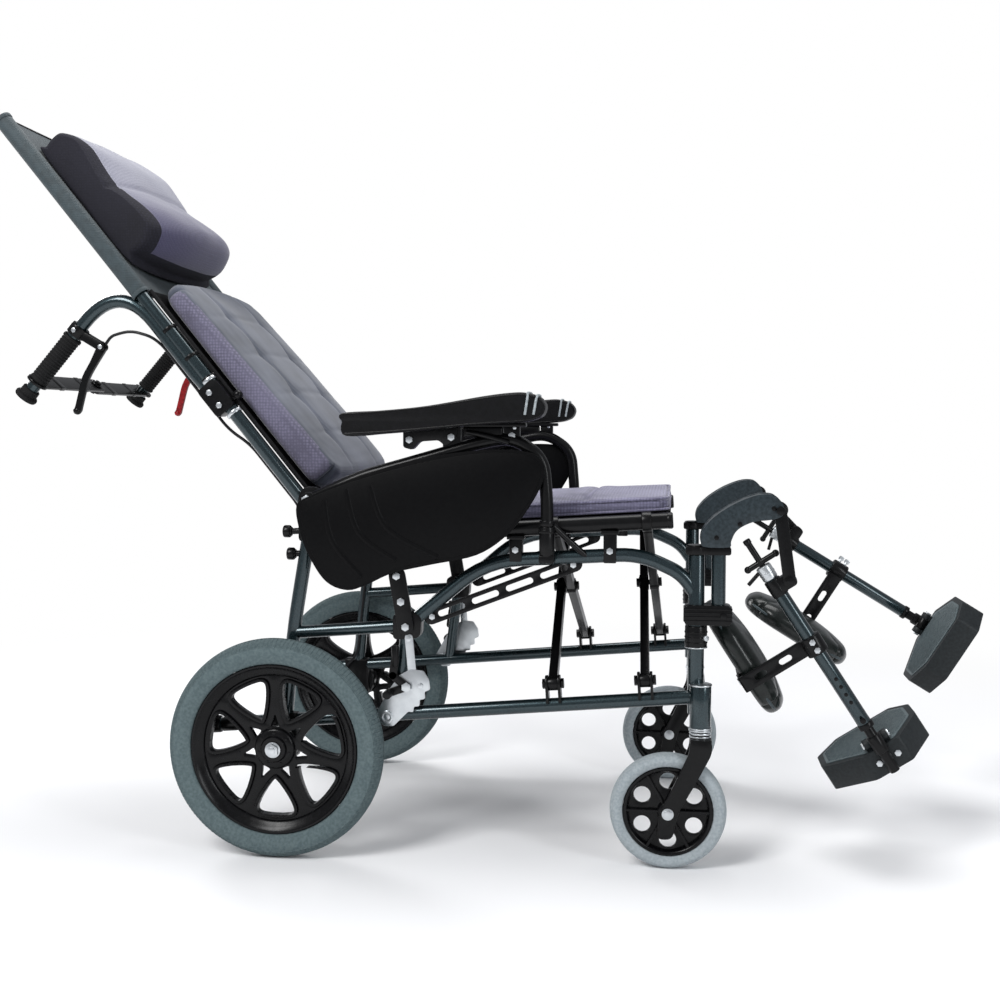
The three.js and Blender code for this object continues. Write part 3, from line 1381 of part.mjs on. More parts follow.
function footplate(x) {
  const pinZ = -(foot.top - foot.barrelRadius - touchGap * 2);
  const near = foot.outerY;
  const far = near + foot.width;
  const shape = new THREE.Shape([
    [foot.outerRear, near],
    [foot.outerFront, near],
    [foot.front, near + foot.outerCorner],
    [foot.front, far - foot.innerCorner],
    [foot.innerFront, far],
    [foot.innerRear, far],
    [foot.rear, far - foot.innerCorner],
    [foot.rear, near + foot.outerCorner],
  ].map(([along, across]) => new THREE.Vector2(x + along, across)));
  const slab = new THREE.ExtrudeGeometry(shape, { depth: foot.thickness, bevelEnabled: false });
  slab.translate(0, 0, -foot.top - foot.thickness);
  const earFrom = foot.barrelHalf + touchGap;
  const ears = [-1, 1].map((s) => {
    const from = x + s * earFrom;
    const to = x + s * (earFrom + foot.earLength);
    return join(
      rod([from, foot.pinY, pinZ], [to, foot.pinY, pinZ], foot.barrelRadius),
      box([from, foot.pinY - foot.barrelRadius / 2, -foot.top - overrun],
        [to, foot.pinY + foot.barrelRadius, pinZ]),
    );
  });
  const pin = rod([x - earFrom - overrun, foot.pinY, pinZ], [x + earFrom + overrun, foot.pinY, pinZ],
    foot.pinRadius);
  return join(slab, ...ears, pin);
}

// Assembly
const chair = new THREE.Group();
const sides = [
  { name: 'right', sign: -1, legTurn: rightLegDegrees },
  { name: 'left', sign: 1, legTurn: leftLegDegrees },
];

function shared(name, geometry, material) {
  chair.add(piece(name, geometry, material));
}

for (const { name, sign, legTurn } of sides) {
  const isRight = sign < 0;
  const handed = (geometry) => (isRight ? geometry : mirrored(geometry));
  const add = (group, label, geometry, material) => {
    group.add(piece(`${name}_${label}`, handed(geometry), material));
  };

  const wheel = new THREE.Group();
  wheel.position.set(0, sign * rearWheelY, rearWheelRadius);
  add(wheel, 'rear_tyre', rearTyre(), finishes.rearTyre);
  add(wheel, 'rear_rim', rearRim(), finishes.rimBlack);

  const casterWheel = new THREE.Group();
  casterWheel.position.set(wheelbase, sign * casterY, casterRadius);
  add(casterWheel, 'caster_tyre', casterTyre(), finishes.casterTyre);
  add(casterWheel, 'caster_hub', casterHub(), finishes.rimBlack);

  const forkGroup = new THREE.Group();
  forkGroup.position.set(0, sign * casterY, 0);
  add(forkGroup, 'caster_fork', casterFork(), finishes.blackSteel);

  const frame = new THREE.Group();
  add(frame, 'side_frame', sideFrame(isRight), finishes.frameCoat);
  add(frame, 'wheel_lock_plate', wheelLockPlate(), finishes.silver);
  add(frame, 'wheel_lock_lever', wheelLockLever(), finishes.blackSteel);
  add(frame, 'seat_rail', seatRailTube(), finishes.blackSteel);
  add(frame, 'arm_frame', armFrame(), finishes.blackSteel);
  add(frame, 'arm_pad', armPad(), finishes.blackVinyl);
  add(frame, 'side_guard', sideGuard(), finishes.blackVinyl);
  add(frame, 'leg_hanger', legHanger(), finishes.frameCoat);
  add(frame, 'knee_panel', kneePanel(), finishes.kneePlastic);

  const backGroup = new THREE.Group();
  backGroup.position.set(pivots.recline[0], 0, pivots.recline[1]);
  backGroup.rotation.y = -deg(reclineDegrees);
  add(backGroup, 'back_cane', caneWithClamp(), finishes.frameCoat);
  add(backGroup, 'push_grip', pushGrip(), finishes.gripRubber);
  add(backGroup, 'brake_lever', brakeLever(), finishes.leverRed);
  add(backGroup, 'brake_cable', brakeCable(), finishes.cable);
  add(backGroup, 'handle_spreader', spreaderHalf(isRight), finishes.blackSteel);

  const legGroup = new THREE.Group();
  legGroup.position.set(hanger.elevation[0], sign * frameY, hanger.elevation[1]);
  legGroup.rotation.y = -deg(legTurn);
  const tubeX = legSetting[name];
  add(legGroup, 'leg_tube', legTube(tubeX), finishes.frameCoat);
  add(legGroup, 'leg_release', releaseLever(tubeX), finishes.silver);
  add(legGroup, 'calf_bracket', calfBracket(tubeX), finishes.blackSteel);
  add(legGroup, 'calf_pad', calfPad(), finishes.calfVinyl);
  add(legGroup, 'foot_stem', footStem(tubeX), finishes.blackSteel);
  add(legGroup, 'footplate', footplate(tubeX), finishes.plateGrey);

  chair.add(wheel, casterWheel, forkGroup, frame, backGroup, legGroup);
}

for (const [label, along] of [['rear', fold.rearAlong], ['front', fold.frontAlong]]) {
  shared(`${label}_brace_arm_a`, braceArm(along, true), finishes.blackSteel);
  shared(`${label}_brace_arm_b`, braceArm(along, false), finishes.blackSteel);
}
shared('seat_base', seatBase(), finishes.blackVinyl);
shared('seat_cushion', seatCushion(), finishes.seatMesh);

const middleBack = new THREE.Group();
middleBack.position.set(pivots.recline[0], 0, pivots.recline[1]);
middleBack.rotation.y = -deg(reclineDegrees);
middleBack.add(piece('back_panel', backPanel(), finishes.blackVinyl));
middleBack.add(piece('back_cushion', backCushion(), finishes.backFabric));
middleBack.add(piece('head_panel', headPanel(), finishes.slateFabric));
middleBack.add(piece('head_cushion', headCushion(), finishes.seatMesh));
chair.add(middleBack);

chair.updateMatrixWorld(true);
const whole = new THREE.Box3().setFromObject(chair, true);
const middle = whole.getCenter(new THREE.Vector3());
chair.position.set(-middle.x, -middle.y, -whole.min.z);

export default chair;
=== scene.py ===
# A folding reclining wheelchair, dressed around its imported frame.
# Sizes are in millimetres in the chair's own setting-out frame: x runs forward from the rear axle, z up from
# the floor, and pieces are drawn for the right-hand side, which lies towards -y. One matrix brings them all
# to metres.
import math

import bmesh
import bpy
from mathutils import Matrix, Vector, noise


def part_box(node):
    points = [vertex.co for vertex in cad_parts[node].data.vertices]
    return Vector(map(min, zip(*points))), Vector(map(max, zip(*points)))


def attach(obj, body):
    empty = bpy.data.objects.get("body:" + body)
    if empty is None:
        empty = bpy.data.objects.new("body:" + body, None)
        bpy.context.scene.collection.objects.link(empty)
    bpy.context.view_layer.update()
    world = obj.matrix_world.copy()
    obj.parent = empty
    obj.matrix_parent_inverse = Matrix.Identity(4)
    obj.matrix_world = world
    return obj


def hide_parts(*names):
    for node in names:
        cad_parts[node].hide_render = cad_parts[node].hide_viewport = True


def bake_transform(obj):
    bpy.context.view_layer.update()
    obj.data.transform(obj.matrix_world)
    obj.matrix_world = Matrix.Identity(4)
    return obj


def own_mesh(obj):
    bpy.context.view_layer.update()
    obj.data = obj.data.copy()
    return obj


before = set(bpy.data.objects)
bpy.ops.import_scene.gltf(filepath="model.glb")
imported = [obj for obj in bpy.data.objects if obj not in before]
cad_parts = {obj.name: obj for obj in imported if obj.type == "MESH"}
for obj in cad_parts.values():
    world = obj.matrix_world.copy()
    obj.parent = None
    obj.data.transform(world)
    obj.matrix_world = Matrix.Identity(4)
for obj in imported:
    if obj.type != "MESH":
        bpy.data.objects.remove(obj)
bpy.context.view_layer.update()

# Setting-out: the middle planes of the right-hand side, then the pivots and tubes seen from that side
FRAME_Y, CANE_Y, ARM_Y, WHEEL_Y, CASTER_Y = -240, -215, -266, -285, -252
WHEEL_RADIUS, CASTER_RADIUS = 175, 90
WHEELBASE = 618
STEM_X = 666.5
POST_X = 659
SOCKET_X = 430
TUBE = 11
BACK_PIVOT = (48, 540)
ARM_PIVOT = (52, 568)
LEG_PIVOT = (783, 558)
LOCK_PIVOT = (206, 272)
SIDES = ("right", "left")
LEG_DEGREES = {"right": 33.1, "left": 58.5}
LEG_TUBE_X = {"right": -67.6, "left": -48.6}
RIGHTWARDS = (0, -1, 0)
# Angles in degrees above which an edge shades sharp, and above which a slab's edge is softened
HARD_SMOOTH, SLING_SMOOTH, ROUND_SMOOTH = 38, 50, 60
SLAB_EDGE = 50
CLOTH = 3.2


def turned(place, degrees, y=0):
    x, z = place
    return Matrix.Translation((x, y, z)) @ Matrix.Rotation(-math.radians(degrees), 4, "Y")


wheel_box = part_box("right_rear_tyre")
axle_x = (wheel_box[0][0] + wheel_box[1][0]) / 2
to_metres = Matrix.Translation((axle_x, 0, 0)) @ Matrix.Diagonal((0.001, 0.001, 0.001, 1))
back_frame = turned(BACK_PIVOT, 39)
seat_frame = turned((513, 285.5), 3.7)
leg_frame = {side: turned(LEG_PIVOT, LEG_DEGREES[side], FRAME_Y) for side in SIDES}


def link(name, data):
    made = bpy.data.objects.new(name, data)
    bpy.context.collection.objects.link(made)
    return made


# Camera, at the photograph's place
camera_data = bpy.data.cameras.new("camera")
camera_data.lens = 45.68
camera_data.sensor_width = 36
camera = link("camera", camera_data)
camera.location = to_metres @ Vector((624.55, -2208.67, 689.22))
camera.rotation_euler = (math.radians(90 - 3.457), 0, math.radians(7.849))
bpy.context.scene.camera = camera


# Routes and outlines
def curved(before, corner, after, bend, most, steps):
    """A corner turned into a short curve that takes up at most a share of each side."""
    reach = min(bend, (before - corner).length * most, (after - corner).length * most)
    start = corner + (before - corner).normalized() * reach
    end = corner + (after - corner).normalized() * reach
    shares = [step / steps for step in range(steps + 1)]
    return [start * (1 - t) ** 2 + corner * 2 * t * (1 - t) + end * t ** 2 for t in shares]


def rounded(places, bend, steps=6):
    """The places of an open route with each inner corner rounded."""
    points = [Vector(place) for place in places]
    if not bend:
        return points
    route = [points[0]]
    for corner in zip(points, points[1:], points[2:]):
        route += curved(*corner, bend, 0.48, steps)
    return route + [points[-1]]


def eased(outline, bend, steps=4):
    """A closed outline with its corners rounded."""
    spots = [Vector(spot) for spot in outline]
    result = []
    for before, corner, after in zip(spots[-1:] + spots, spots, spots[1:] + spots[:1]):
        result += [tuple(spot) for spot in curved(before, corner, after, bend, 0.46, steps)]
    return result


def flowing(points, steps=5, closed=True):
    """A smooth curve through points of any dimension."""
    spots = [Vector(point) for point in points]
    count = len(spots)
    result = []
    for i in range(count if closed else count - 1):
        near = [i + k if not closed else (i + k) % count for k in (-1, 0, 1, 2)]
        a, b, c, d = (spots[min(max(k, 0), count - 1)] for k in near)
        for step in range(steps):
            t = step / steps
            result.append(0.5 * ((2 * b) + (c - a) * t + (2 * a - 5 * b + 4 * c - d) * t ** 2
                                 + (3 * b - a - 3 * c + d) * t ** 3))
    return result if closed else result + [spots[-1]]


def around(count, radius, start=0.0, centre=(0, 0)):
    """Places evenly spaced on a circle."""
    turns = [start + math.tau * i / count for i in range(count)]
    return [(centre[0] + radius * math.cos(turn), centre[1] + radius * math.sin(turn)) for turn in turns]


def disc(place, radius, steps=24):
    return around(steps, radius, 0, place)


def stadium(start, end, width, steps=8):
    """The outline of a flat link with round ends."""
    start, end = Vector(start), Vector(end)
    angle = math.atan2(end.y - start.y, end.x - start.x)
    points = []
    for middle, first in ((end, angle - math.pi / 2), (start, angle + math.pi / 2)):
        for step in range(steps + 1):
            turn = first + math.pi * step / steps
            points.append((middle.x + width / 2 * math.cos(turn), middle.y + width / 2 * math.sin(turn)))
    return points


def mirrored(half):
    """A lathe profile from its half of (radius, distance from the middle plane)."""
    return [(radius, -y) for radius, y in half] + [(radius, y) for radius, y in reversed(half)]


def at(places, y=FRAME_Y):
    return [(x, y, z) for x, z in places]


# Shapes
def soften(bm, edges, width, segments=2):
    if width and edges:
        bmesh.ops.bevel(bm, geom=edges, offset=width, segments=segments, profile=0.5, affect="EDGES",
                        material=-1, clamp_overlap=True)


def sharp_edges(faces, degrees):
    edges = {edge for face in faces for edge in face.edges}
    return [edge for edge in edges if len(edge.link_faces) == 2
            and edge.calc_face_angle(0) > math.radians(degrees)]


def of_kind(items, kind):
    return [item for item in items if isinstance(item, kind)]


def move(bm, matrix):
    bmesh.ops.transform(bm, matrix=matrix, verts=bm.verts)


def face_outwards(bm):
    bmesh.ops.recalc_face_normals(bm, faces=bm.faces)


def pipe(bm, places, radius, bend=0, sides=20, steps=6):
    """A round bar along a route."""
    route = rounded(places, bend, steps)
    ways = [(b - a).normalized() for a, b in zip(route, route[1:])]
    tangents = [ways[0]] + [(a + b).normalized() for a, b in zip(ways, ways[1:])] + [ways[-1]]
    lay = Matrix.Translation(route[0]) @ tangents[0].to_track_quat("Z", "Y").to_matrix().to_4x4()
    ring = bmesh.ops.create_circle(bm, cap_ends=True, radius=radius, segments=sides, matrix=lay)["verts"]
    edges = list({edge for vert in ring for edge in vert.link_edges})
    for i in range(1, len(route)):
        made = bmesh.ops.extrude_edge_only(bm, edges=edges)["geom"]
        verts = set(of_kind(made, bmesh.types.BMVert))
        edges = [item for item in of_kind(made, bmesh.types.BMEdge) if set(item.verts) <= verts]
        swing = tangents[i - 1].rotation_difference(tangents[i]).to_matrix().to_4x4()
        step = Matrix.Translation(route[i]) @ swing @ Matrix.Translation(-route[i - 1])
        bmesh.ops.transform(bm, matrix=step, verts=list(verts))
    bmesh.ops.contextual_create(bm, geom=edges)


def rod(bm, start, end, radius, sides=24, soft=0.8, tip=None):
    """A turned bar or a cone between two places."""
    start, end = Vector(start), Vector(end)
    way = end - start
    lay = Matrix.Translation((start + end) / 2) @ way.to_track_quat("Z", "Y").to_matrix().to_4x4()
    end_radius = radius if tip is None else tip
    verts = bmesh.ops.create_cone(bm, cap_ends=True, segments=sides, radius1=radius, radius2=end_radius,
                                  depth=way.length, matrix=lay)["verts"]
    caps = {face for vert in verts for face in vert.link_faces if len(face.verts) > 4}
    soften(bm, list({edge for face in caps for edge in face.edges}), soft)


def pin(bm, place, y_from, y_to, radius, sides=24, soft=0.8):
    """A rod that runs across the chair."""
    x, z = place
    rod(bm, (x, y_from, z), (x, y_to, z), radius, sides, soft)


def post(bm, x, y, z_from, z_to, radius, sides=24, soft=0.8, tip=None):
    """A rod that stands up."""
    rod(bm, (x, y, z_from), (x, y, z_to), radius, sides, soft, tip)


def bolt(bm, place, way, radius, height):
    """A hexagon head."""
    start = Vector(place)
    rod(bm, start, start + Vector(way) * height, radius, 6, 0.5)


def side_bolts(bm, places, y, radius, height):
    """Hexagon heads that face away from the chair's right-hand side."""
    for place in at(places, y):
        bolt(bm, place, RIGHTWARDS, radius, height)


def ball(bm, place, radius, u_segments, v_segments):
    made = bmesh.ops.create_uvsphere(bm, u_segments=u_segments, v_segments=v_segments, radius=radius)
    bmesh.ops.translate(bm, vec=place, verts=made["verts"])


def block(bm, low, high, soft=1.2, segments=2):
    low, high = Vector(low), Vector(high)
    lay = Matrix.Translation((low + high) / 2) @ Matrix.Diagonal((*(high - low), 1))
    verts = bmesh.ops.create_cube(bm, size=1, matrix=lay)["verts"]
    soften(bm, list({edge for vert in verts for edge in vert.link_edges}), soft, segments)


def loop(bm, places):
    verts = [bm.verts.new(place) for place in places]
    return [bm.edges.new(ends) for ends in zip(verts, verts[1:] + verts[:1])]


def slab(bm, outline, y_from, y_to, soft=1.0, holes=(), segments=2, bend=0):
    """A flat plate from an outline of (x, z) places, with holes, between two values of y."""
    edges = loop(bm, at(eased(outline, bend) if bend else outline, y_from))
    for hole in holes:
        edges += loop(bm, at(hole, y_from))
    made = bmesh.ops.triangle_fill(bm, use_beauty=True, edges=edges)["geom"]
    faces = of_kind(made, bmesh.types.BMFace)
    top = bmesh.ops.extrude_face_region(bm, geom=faces)["geom"]
    verts = of_kind(top, bmesh.types.BMVert)
    bmesh.ops.translate(bm, vec=(0, y_to - y_from, 0), verts=verts)
    whole = set(faces) | {face for vert in verts for face in vert.link_faces}
    bmesh.ops.recalc_face_normals(bm, faces=list(whole))
    soften(bm, sharp_edges(whole, SLAB_EDGE), soft, segments)


def oblong(x_from, x_to, z_from, z_to):
    return [(x_from, z_from), (x_to, z_from), (x_to, z_to), (x_from, z_to)]


def lathe(bm, profile, centre=(0, 0, 0), steps=64):
    """A ring or disc: a profile of (radius, y), turned about the y axis through centre."""
    verts = [bm.verts.new((radius, y, 0)) for radius, y in profile]
    edges = [bm.edges.new(ends) for ends in zip(verts, verts[1:])]
    if profile[0][0] > 0 and profile[-1][0] > 0:
        edges.append(bm.edges.new((verts[-1], verts[0])))
    before = set(bm.verts) - set(verts)
    bmesh.ops.spin(bm, geom=verts + edges, cent=(0, 0, 0), axis=(0, 1, 0), dvec=(0, 0, 0), angle=math.tau,
                   steps=steps, use_merge=True, use_duplicate=False)
    made = [vert for vert in bm.verts if vert not in before]
    bmesh.ops.remove_doubles(bm, verts=made, dist=0.001)
    made = [vert for vert in bm.verts if vert not in before]
    bmesh.ops.recalc_face_normals(bm, faces=list({face for vert in made for face in vert.link_faces}))
    bmesh.ops.translate(bm, vec=centre, verts=made)


def loft(bm, rows, capped=True):
    """A skin over closed rows of places; without caps its last row joins its first."""
    rings = [loop(bm, row) for row in rows]
    for first, second in zip(rings, rings[1:] if capped else rings[1:] + rings[:1]):
        bmesh.ops.bridge_loops(bm, edges=first + second)
    if capped:
        for ring in (rings[0], rings[-1]):
            bmesh.ops.contextual_create(bm, geom=ring)
    face_outwards(bm)


# Pieces: a finish is a material with the slot that it belongs to
def make(name, bm, finish, body, replaces=(), place=None, left=False, smooth=HARD_SMOOTH,
         second=None):
    if place is not None:
        move(bm, place)
    if left:
        bmesh.ops.scale(bm, vec=(1, -1, 1), verts=bm.verts)
        bmesh.ops.reverse_faces(bm, faces=bm.faces[:])
    move(bm, to_metres)
    mesh = bpy.data.meshes.new(name)
    bm.to_mesh(mesh)
    bm.free()
    mesh.polygons.foreach_set("use_smooth", [True] * len(mesh.polygons))
    mesh.set_sharp_from_angle(angle=math.radians(smooth))
    piece = link(name, mesh)
    made, slot = finish
    mesh.materials.append(made)
    if second:
        mesh.materials.append(second[0])
    if body:
        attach(piece, body)
    if replaces:
        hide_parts(*replaces)
    return piece


def pair(finish, body, replaces=None, place=None, smooth=HARD_SMOOTH):
    """Draws the piece that the function is named for on the right-hand side, and mirrors it for the left.

    The name then stands for both pieces, by side.
    """
    def both(draw):
        made = {}
        for side in SIDES:
            bm = bmesh.new()
            draw(bm, side)
            lay = place[side] if isinstance(place, dict) else place
            node = (f"{side}_{replaces}",) if replaces else ()
            owner = f"{side}_{body}" if body else None
            made[side] = make(f"{side}_{draw.__name__}", bm, finish, owner, node, lay, side == "left", smooth)
        return made
    return both


# Materials
def linear(code):
    values = [int(code[i:i + 2], 16) / 255 for i in (1, 3, 5)]
    return [v / 12.92 if v <= 0.04045 else ((v + 0.055) / 1.055) ** 2.4 for v in values] + [1]


def feed(node, inputs):
    """Sets a node's inputs, each to a value or to another node's output socket."""
    for key, value in inputs.items():
        if isinstance(value, bpy.types.NodeSocket):
            node.id_data.links.new(value, node.inputs[key])
        else:
            node.inputs[key].default_value = value


def add(tree, kind, inputs, **settings):
    node = tree.nodes.new(kind)
    for key, value in settings.items():
        setattr(node, key, value)
    feed(node, inputs)
    return node


def material(name, colour, roughness, metallic=0, **sockets):
    """A plain finish; returns the material, its tree, its shader and object coordinates."""
    made = bpy.data.materials.new(name)
    made.use_nodes = True
    tree = made.node_tree
    shader = tree.nodes["Principled BSDF"]
    feed(shader, {"Base Color": linear(colour), "Roughness": roughness, "Metallic": metallic,
                  **{key.replace("_", " "): value for key, value in sockets.items()}})
    made.diffuse_color = linear(colour)
    return made, tree, shader, add(tree, "ShaderNodeTexCoord", {}).outputs["Object"]


def mottle(tree, shader, coordinates, low, high, scale, detail, start=0.35, end=0.65):
    """Mottles the base colour between two tones; returns the pattern."""
    pattern = add(tree, "ShaderNodeTexNoise", {"Vector": coordinates, "Scale": scale, "Detail": detail})
    spread = add(tree, "ShaderNodeMapRange", {"Value": pattern.outputs["Fac"], "From Min": start,
                                              "From Max": end})
    tones = add(tree, "ShaderNodeMix", {"Factor": spread.outputs[0], 6: linear(low), 7: linear(high)},
                data_type="RGBA")
    feed(shader, {"Base Color": tones.outputs[2]})
    return pattern.outputs["Fac"]


def emboss(tree, shader, height, strength, distance):
    """Raises the surface by a height pattern; distance is in metres."""
    bump = add(tree, "ShaderNodeBump", {"Height": height, "Strength": strength, "Distance": distance})
    feed(shader, {"Normal": bump.outputs[0]})


def surface(slot, name, colour, roughness, tones, relief=None, uneven=None, metallic=0, **sockets):
    """A mottled finish and its slot.

    tones is what mottle takes; relief is a texture node's kind, inputs, output and settings, with the
    strength and the depth in metres that it is embossed at; uneven is the range of the roughness over the
    last pattern.
    """
    made, tree, shader, spot = material(name, colour, roughness, metallic, **sockets)
    pattern = mottle(tree, shader, spot, *tones)
    if relief:
        kind, inputs, output, settings, strength, distance = relief
        pattern = add(tree, "ShaderNodeTex" + kind, {"Vector": spot, **inputs}, **settings).outputs[output]
        emboss(tree, shader, pattern, strength, distance)
    if uneven:
        spread = add(tree, "ShaderNodeMapRange", {"Value": pattern, "To Min": uneven[0], "To Max": uneven[1]})
        feed(shader, {"Roughness": spread.outputs[0]})
    return made, slot


def speckle(scale, detail, strength, distance):
    return "Noise", {"Scale": scale, "Detail": detail}, "Fac", {}, strength, distance


def weave(scale, distortion, strength, distance, **settings):
    return "Wave", {"Scale": scale, "Distortion": distortion}, "Fac", settings, strength, distance


def rubber(slot, name, low, high, wear):
    # Non-marking rubber: matt, with paler scuffs
    return surface(slot, name, low, 0.78, (low, high, 240, 5), speckle(320, 3, 0.35, wear), (0.68, 0.88),
                   Specular_IOR_Level=0.3)


def vinyl(slot, name, low, high, roughness, scale=420, coat=0.0):
    # Vinyl with an embossed leather grain, which breaks its shine into small cells
    cells = "Voronoi", {"Scale": scale}, "Distance", {"feature": "SMOOTH_F1"}, 0.35, 0.0005
    return surface(slot, name, low, roughness, (low, high, 120, 4), cells, Specular_IOR_Level=0.2,
                   Coat_Weight=coat, Coat_Roughness=0.15)


def plastic(slot, name, low, high, roughness, shine=0.28):
    # Moulded ABS or polypropylene with a light spark texture: a dull, even sheen
    return surface(slot, name, low, roughness, (low, high, 200, 4), speckle(900, 2, 0.3, 0.0003),
                   Specular_IOR_Level=shine)


def spacer_mesh(slot, name, low, high, pitch, sheen=0.25):
    # Knitted spacer mesh: rows of small open cells; the pitch is coarser than the real 1.5 mm, to show
    made, tree, shader, spot = material(name, low, 0.92, Sheen_Weight=sheen, Sheen_Roughness=0.5)
    cells = add(tree, "ShaderNodeTexVoronoi", {"Vector": spot, "Scale": 1000 / pitch, "Randomness": 0.25})
    spread = add(tree, "ShaderNodeMapRange", {"Value": cells.outputs["Distance"], "From Min": 0.15,
                                              "From Max": 0.6})
    broad = add(tree, "ShaderNodeTexNoise", {"Vector": spot, "Scale": 9, "Detail": 4})
    share = add(tree, "ShaderNodeMath", {0: spread.outputs[0], 1: broad.outputs["Fac"]}, operation="MULTIPLY")
    tones = add(tree, "ShaderNodeMix", {"Factor": share.outputs[0], 6: linear(high), 7: linear(low)},
                data_type="RGBA")
    feed(shader, {"Base Color": tones.outputs[2]})
    emboss(tree, shader, cells.outputs["Distance"], 0.6, 0.0009)
    return made, slot


def head_knit(slot, start, end, way):
    # Knitted cover that pales from the violet roll at the neck up to the headrest's face
    made, tree, shader, spot = material("knit cover grey to violet", "#77778A", 0.9, Sheen_Weight=0.3)
    height = add(tree, "ShaderNodeVectorMath", {0: spot, 1: way}, operation="DOT_PRODUCT")
    fading = add(tree, "ShaderNodeMapRange", {"Value": height.outputs["Value"], "From Min": start,
                                              "From Max": end}, interpolation_type="SMOOTHSTEP")
    tones = add(tree, "ShaderNodeMix", {"Factor": fading.outputs[0], 6: linear("#524F6C"),
                                        7: linear("#9A9AAA")}, data_type="RGBA")
    cells = add(tree, "ShaderNodeTexVoronoi", {"Vector": spot, "Scale": 300, "Randomness": 0.3})
    depth = add(tree, "ShaderNodeMapRange", {"Value": cells.outputs["Distance"], "To Min": 1.0,
                                             "To Max": 0.55})
    shaded = add(tree, "ShaderNodeMix", {"Factor": 1.0, 6: tones.outputs[2], 7: depth.outputs[0]},
                 data_type="RGBA", blend_type="MULTIPLY")
    feed(shader, {"Base Color": shaded.outputs[2]})
    emboss(tree, shader, cells.outputs["Distance"], 0.5, 0.0008)
    return made, slot


def brushed_twill(slot, name, low, high):
    # Brushed polyester: a fine twill with soft shading where the nap lies over; its rib is drawn 1.4 mm wide
    made, tree, shader, spot = material(name, low, 0.9, Sheen_Weight=0.3, Sheen_Roughness=0.45)
    mottle(tree, shader, spot, low, high, 14, 6, 0.3, 0.7)
    turn = add(tree, "ShaderNodeMapping", {"Vector": spot, "Rotation": (0.3, 0.7, 0.2)})
    twill = add(tree, "ShaderNodeTexWave", {"Vector": turn.outputs[0], "Scale": 1000 / 1.4 / 6.3,
                                            "Distortion": 0.4})
    emboss(tree, shader, twill.outputs["Fac"], 0.3, 0.0005)
    return made, slot


# Metallic stove enamel over steel tube: a dark green-grey with fine flakes and a clear gloss
ENAMEL = surface("frame_coat", "stove enamel green-grey", "#162124", 0.26, ("#15242A", "#2C3D41", 900, 2),
                 None, (0.2, 0.34), 0.75, Coat_Weight=0.7, Coat_Roughness=0.08)
# Polyester powder coat: a slight orange peel breaks up its reflections
BLACK = surface("black_metal", "black powder coat", "#050506", 0.32, ("#060607", "#0B0B0C", 160, 4),
                speckle(420, 2, 0.25, 0.0004), Specular_IOR_Level=0.15, Coat_Weight=0.12, Coat_Roughness=0.12)
# Bright zinc plate on bolts and stampings: cool grey, softly polished
ZINC = surface("silver_metal", "bright zinc plate", "#B9BDC0", 0.26, ("#C2C6C9", "#D0D4D6", 60, 3), None,
               (0.3, 0.36), 1)
# Injection moulded glass-filled nylon: near black, glossy, faint flow marks
NYLON = surface("rim_plastic", "moulded nylon gloss", "#040405", 0.24, ("#060607", "#0A0A0C", 120, 3), None,
                (0.18, 0.34), Specular_IOR_Level=0.2)
# Coated canvas of the upper sling: slate, plain weave, dull sheen
CANVAS = surface("slate_fabric", "coated canvas slate", "#2C373B", 0.7, ("#2B363A", "#334045", 90, 5),
                 weave(110, 0.2, 0.35, 0.0005, wave_type="BANDS", bands_direction="Z"), Sheen_Weight=0.15)
# Black packcloth: woven nylon with a polyurethane back
PACKCLOTH = surface("black_vinyl", "packcloth black", "#070708", 0.72, ("#060607", "#0C0C0E", 60, 5),
                    weave(130, 0.1, 0.12, 0.0002, bands_direction="DIAGONAL"), Specular_IOR_Level=0.2)
REAR_RUBBER = rubber("rear_tyre", "grey tyre rubber", "#4C5A5D", "#5C6A6C", 0.0006)
CASTER_RUBBER = rubber("caster_tyre", "pale tyre rubber", "#8E979B", "#A0A8AC", 0.0004)
GRIP_RUBBER = rubber("grip_rubber", "grip rubber black", "#070708", "#0C0C0D", 0.0003)
ARM_VINYL = vinyl("black_vinyl", "arm vinyl black", "#080809", "#0D0D0F", 0.38)
CALF_VINYL = vinyl("calf_vinyl", "calf vinyl olive black", "#0D1110", "#161C1A", 0.3, 300, 0.3)
KNEE_PLASTIC = plastic("knee_plastic", "moulded cover grey", "#20282C", "#2E373C", 0.36)
PLATE_PLASTIC = plastic("plate_plastic", "footplate grey", "#15191B", "#1E2325", 0.5)
TREAD_PLASTIC = plastic("plate_plastic", "footplate tread grey", "#465053", "#566164", 0.4)
GUARD_PLASTIC = plastic("black_vinyl", "side guard black", "#040405", "#070708", 0.42, 0.1)
LEVER_RED = plastic("lever_red", "lever red", "#7A1016", "#9C1A20", 0.35)
SHEATH = plastic("cable_black", "cable sheath", "#0B0B0D", "#141417", 0.4)
STRIP = plastic("plate_plastic", "pale arm strip", "#8D9497", "#A7AEB1", 0.4)
SEAT_MESH = spacer_mesh("seat_mesh", "spacer mesh lavender", "#242231", "#827F9A", 5)
SIDE_MESH = spacer_mesh("back_fabric", "spacer mesh pale lavender", "#1B1923", "#6F6C82", 5)
HEAD_SIDE_MESH = spacer_mesh("seat_mesh", "spacer mesh dark", "#08080C", "#201F2B", 4.4, 0.0)
BACK_FABRIC = brushed_twill("back_fabric", "brushed fabric blue grey", "#3A3F4A", "#565B68")
BACK_UP = back_frame.to_3x3() @ Vector((0, 0, 1)).normalized()
NECK, CROWN = ((to_metres @ back_frame @ Vector((60, 0, height))).dot(BACK_UP) for height in (560, 680))
HEAD_COVER = head_knit("seat_mesh", NECK, CROWN, BACK_UP)


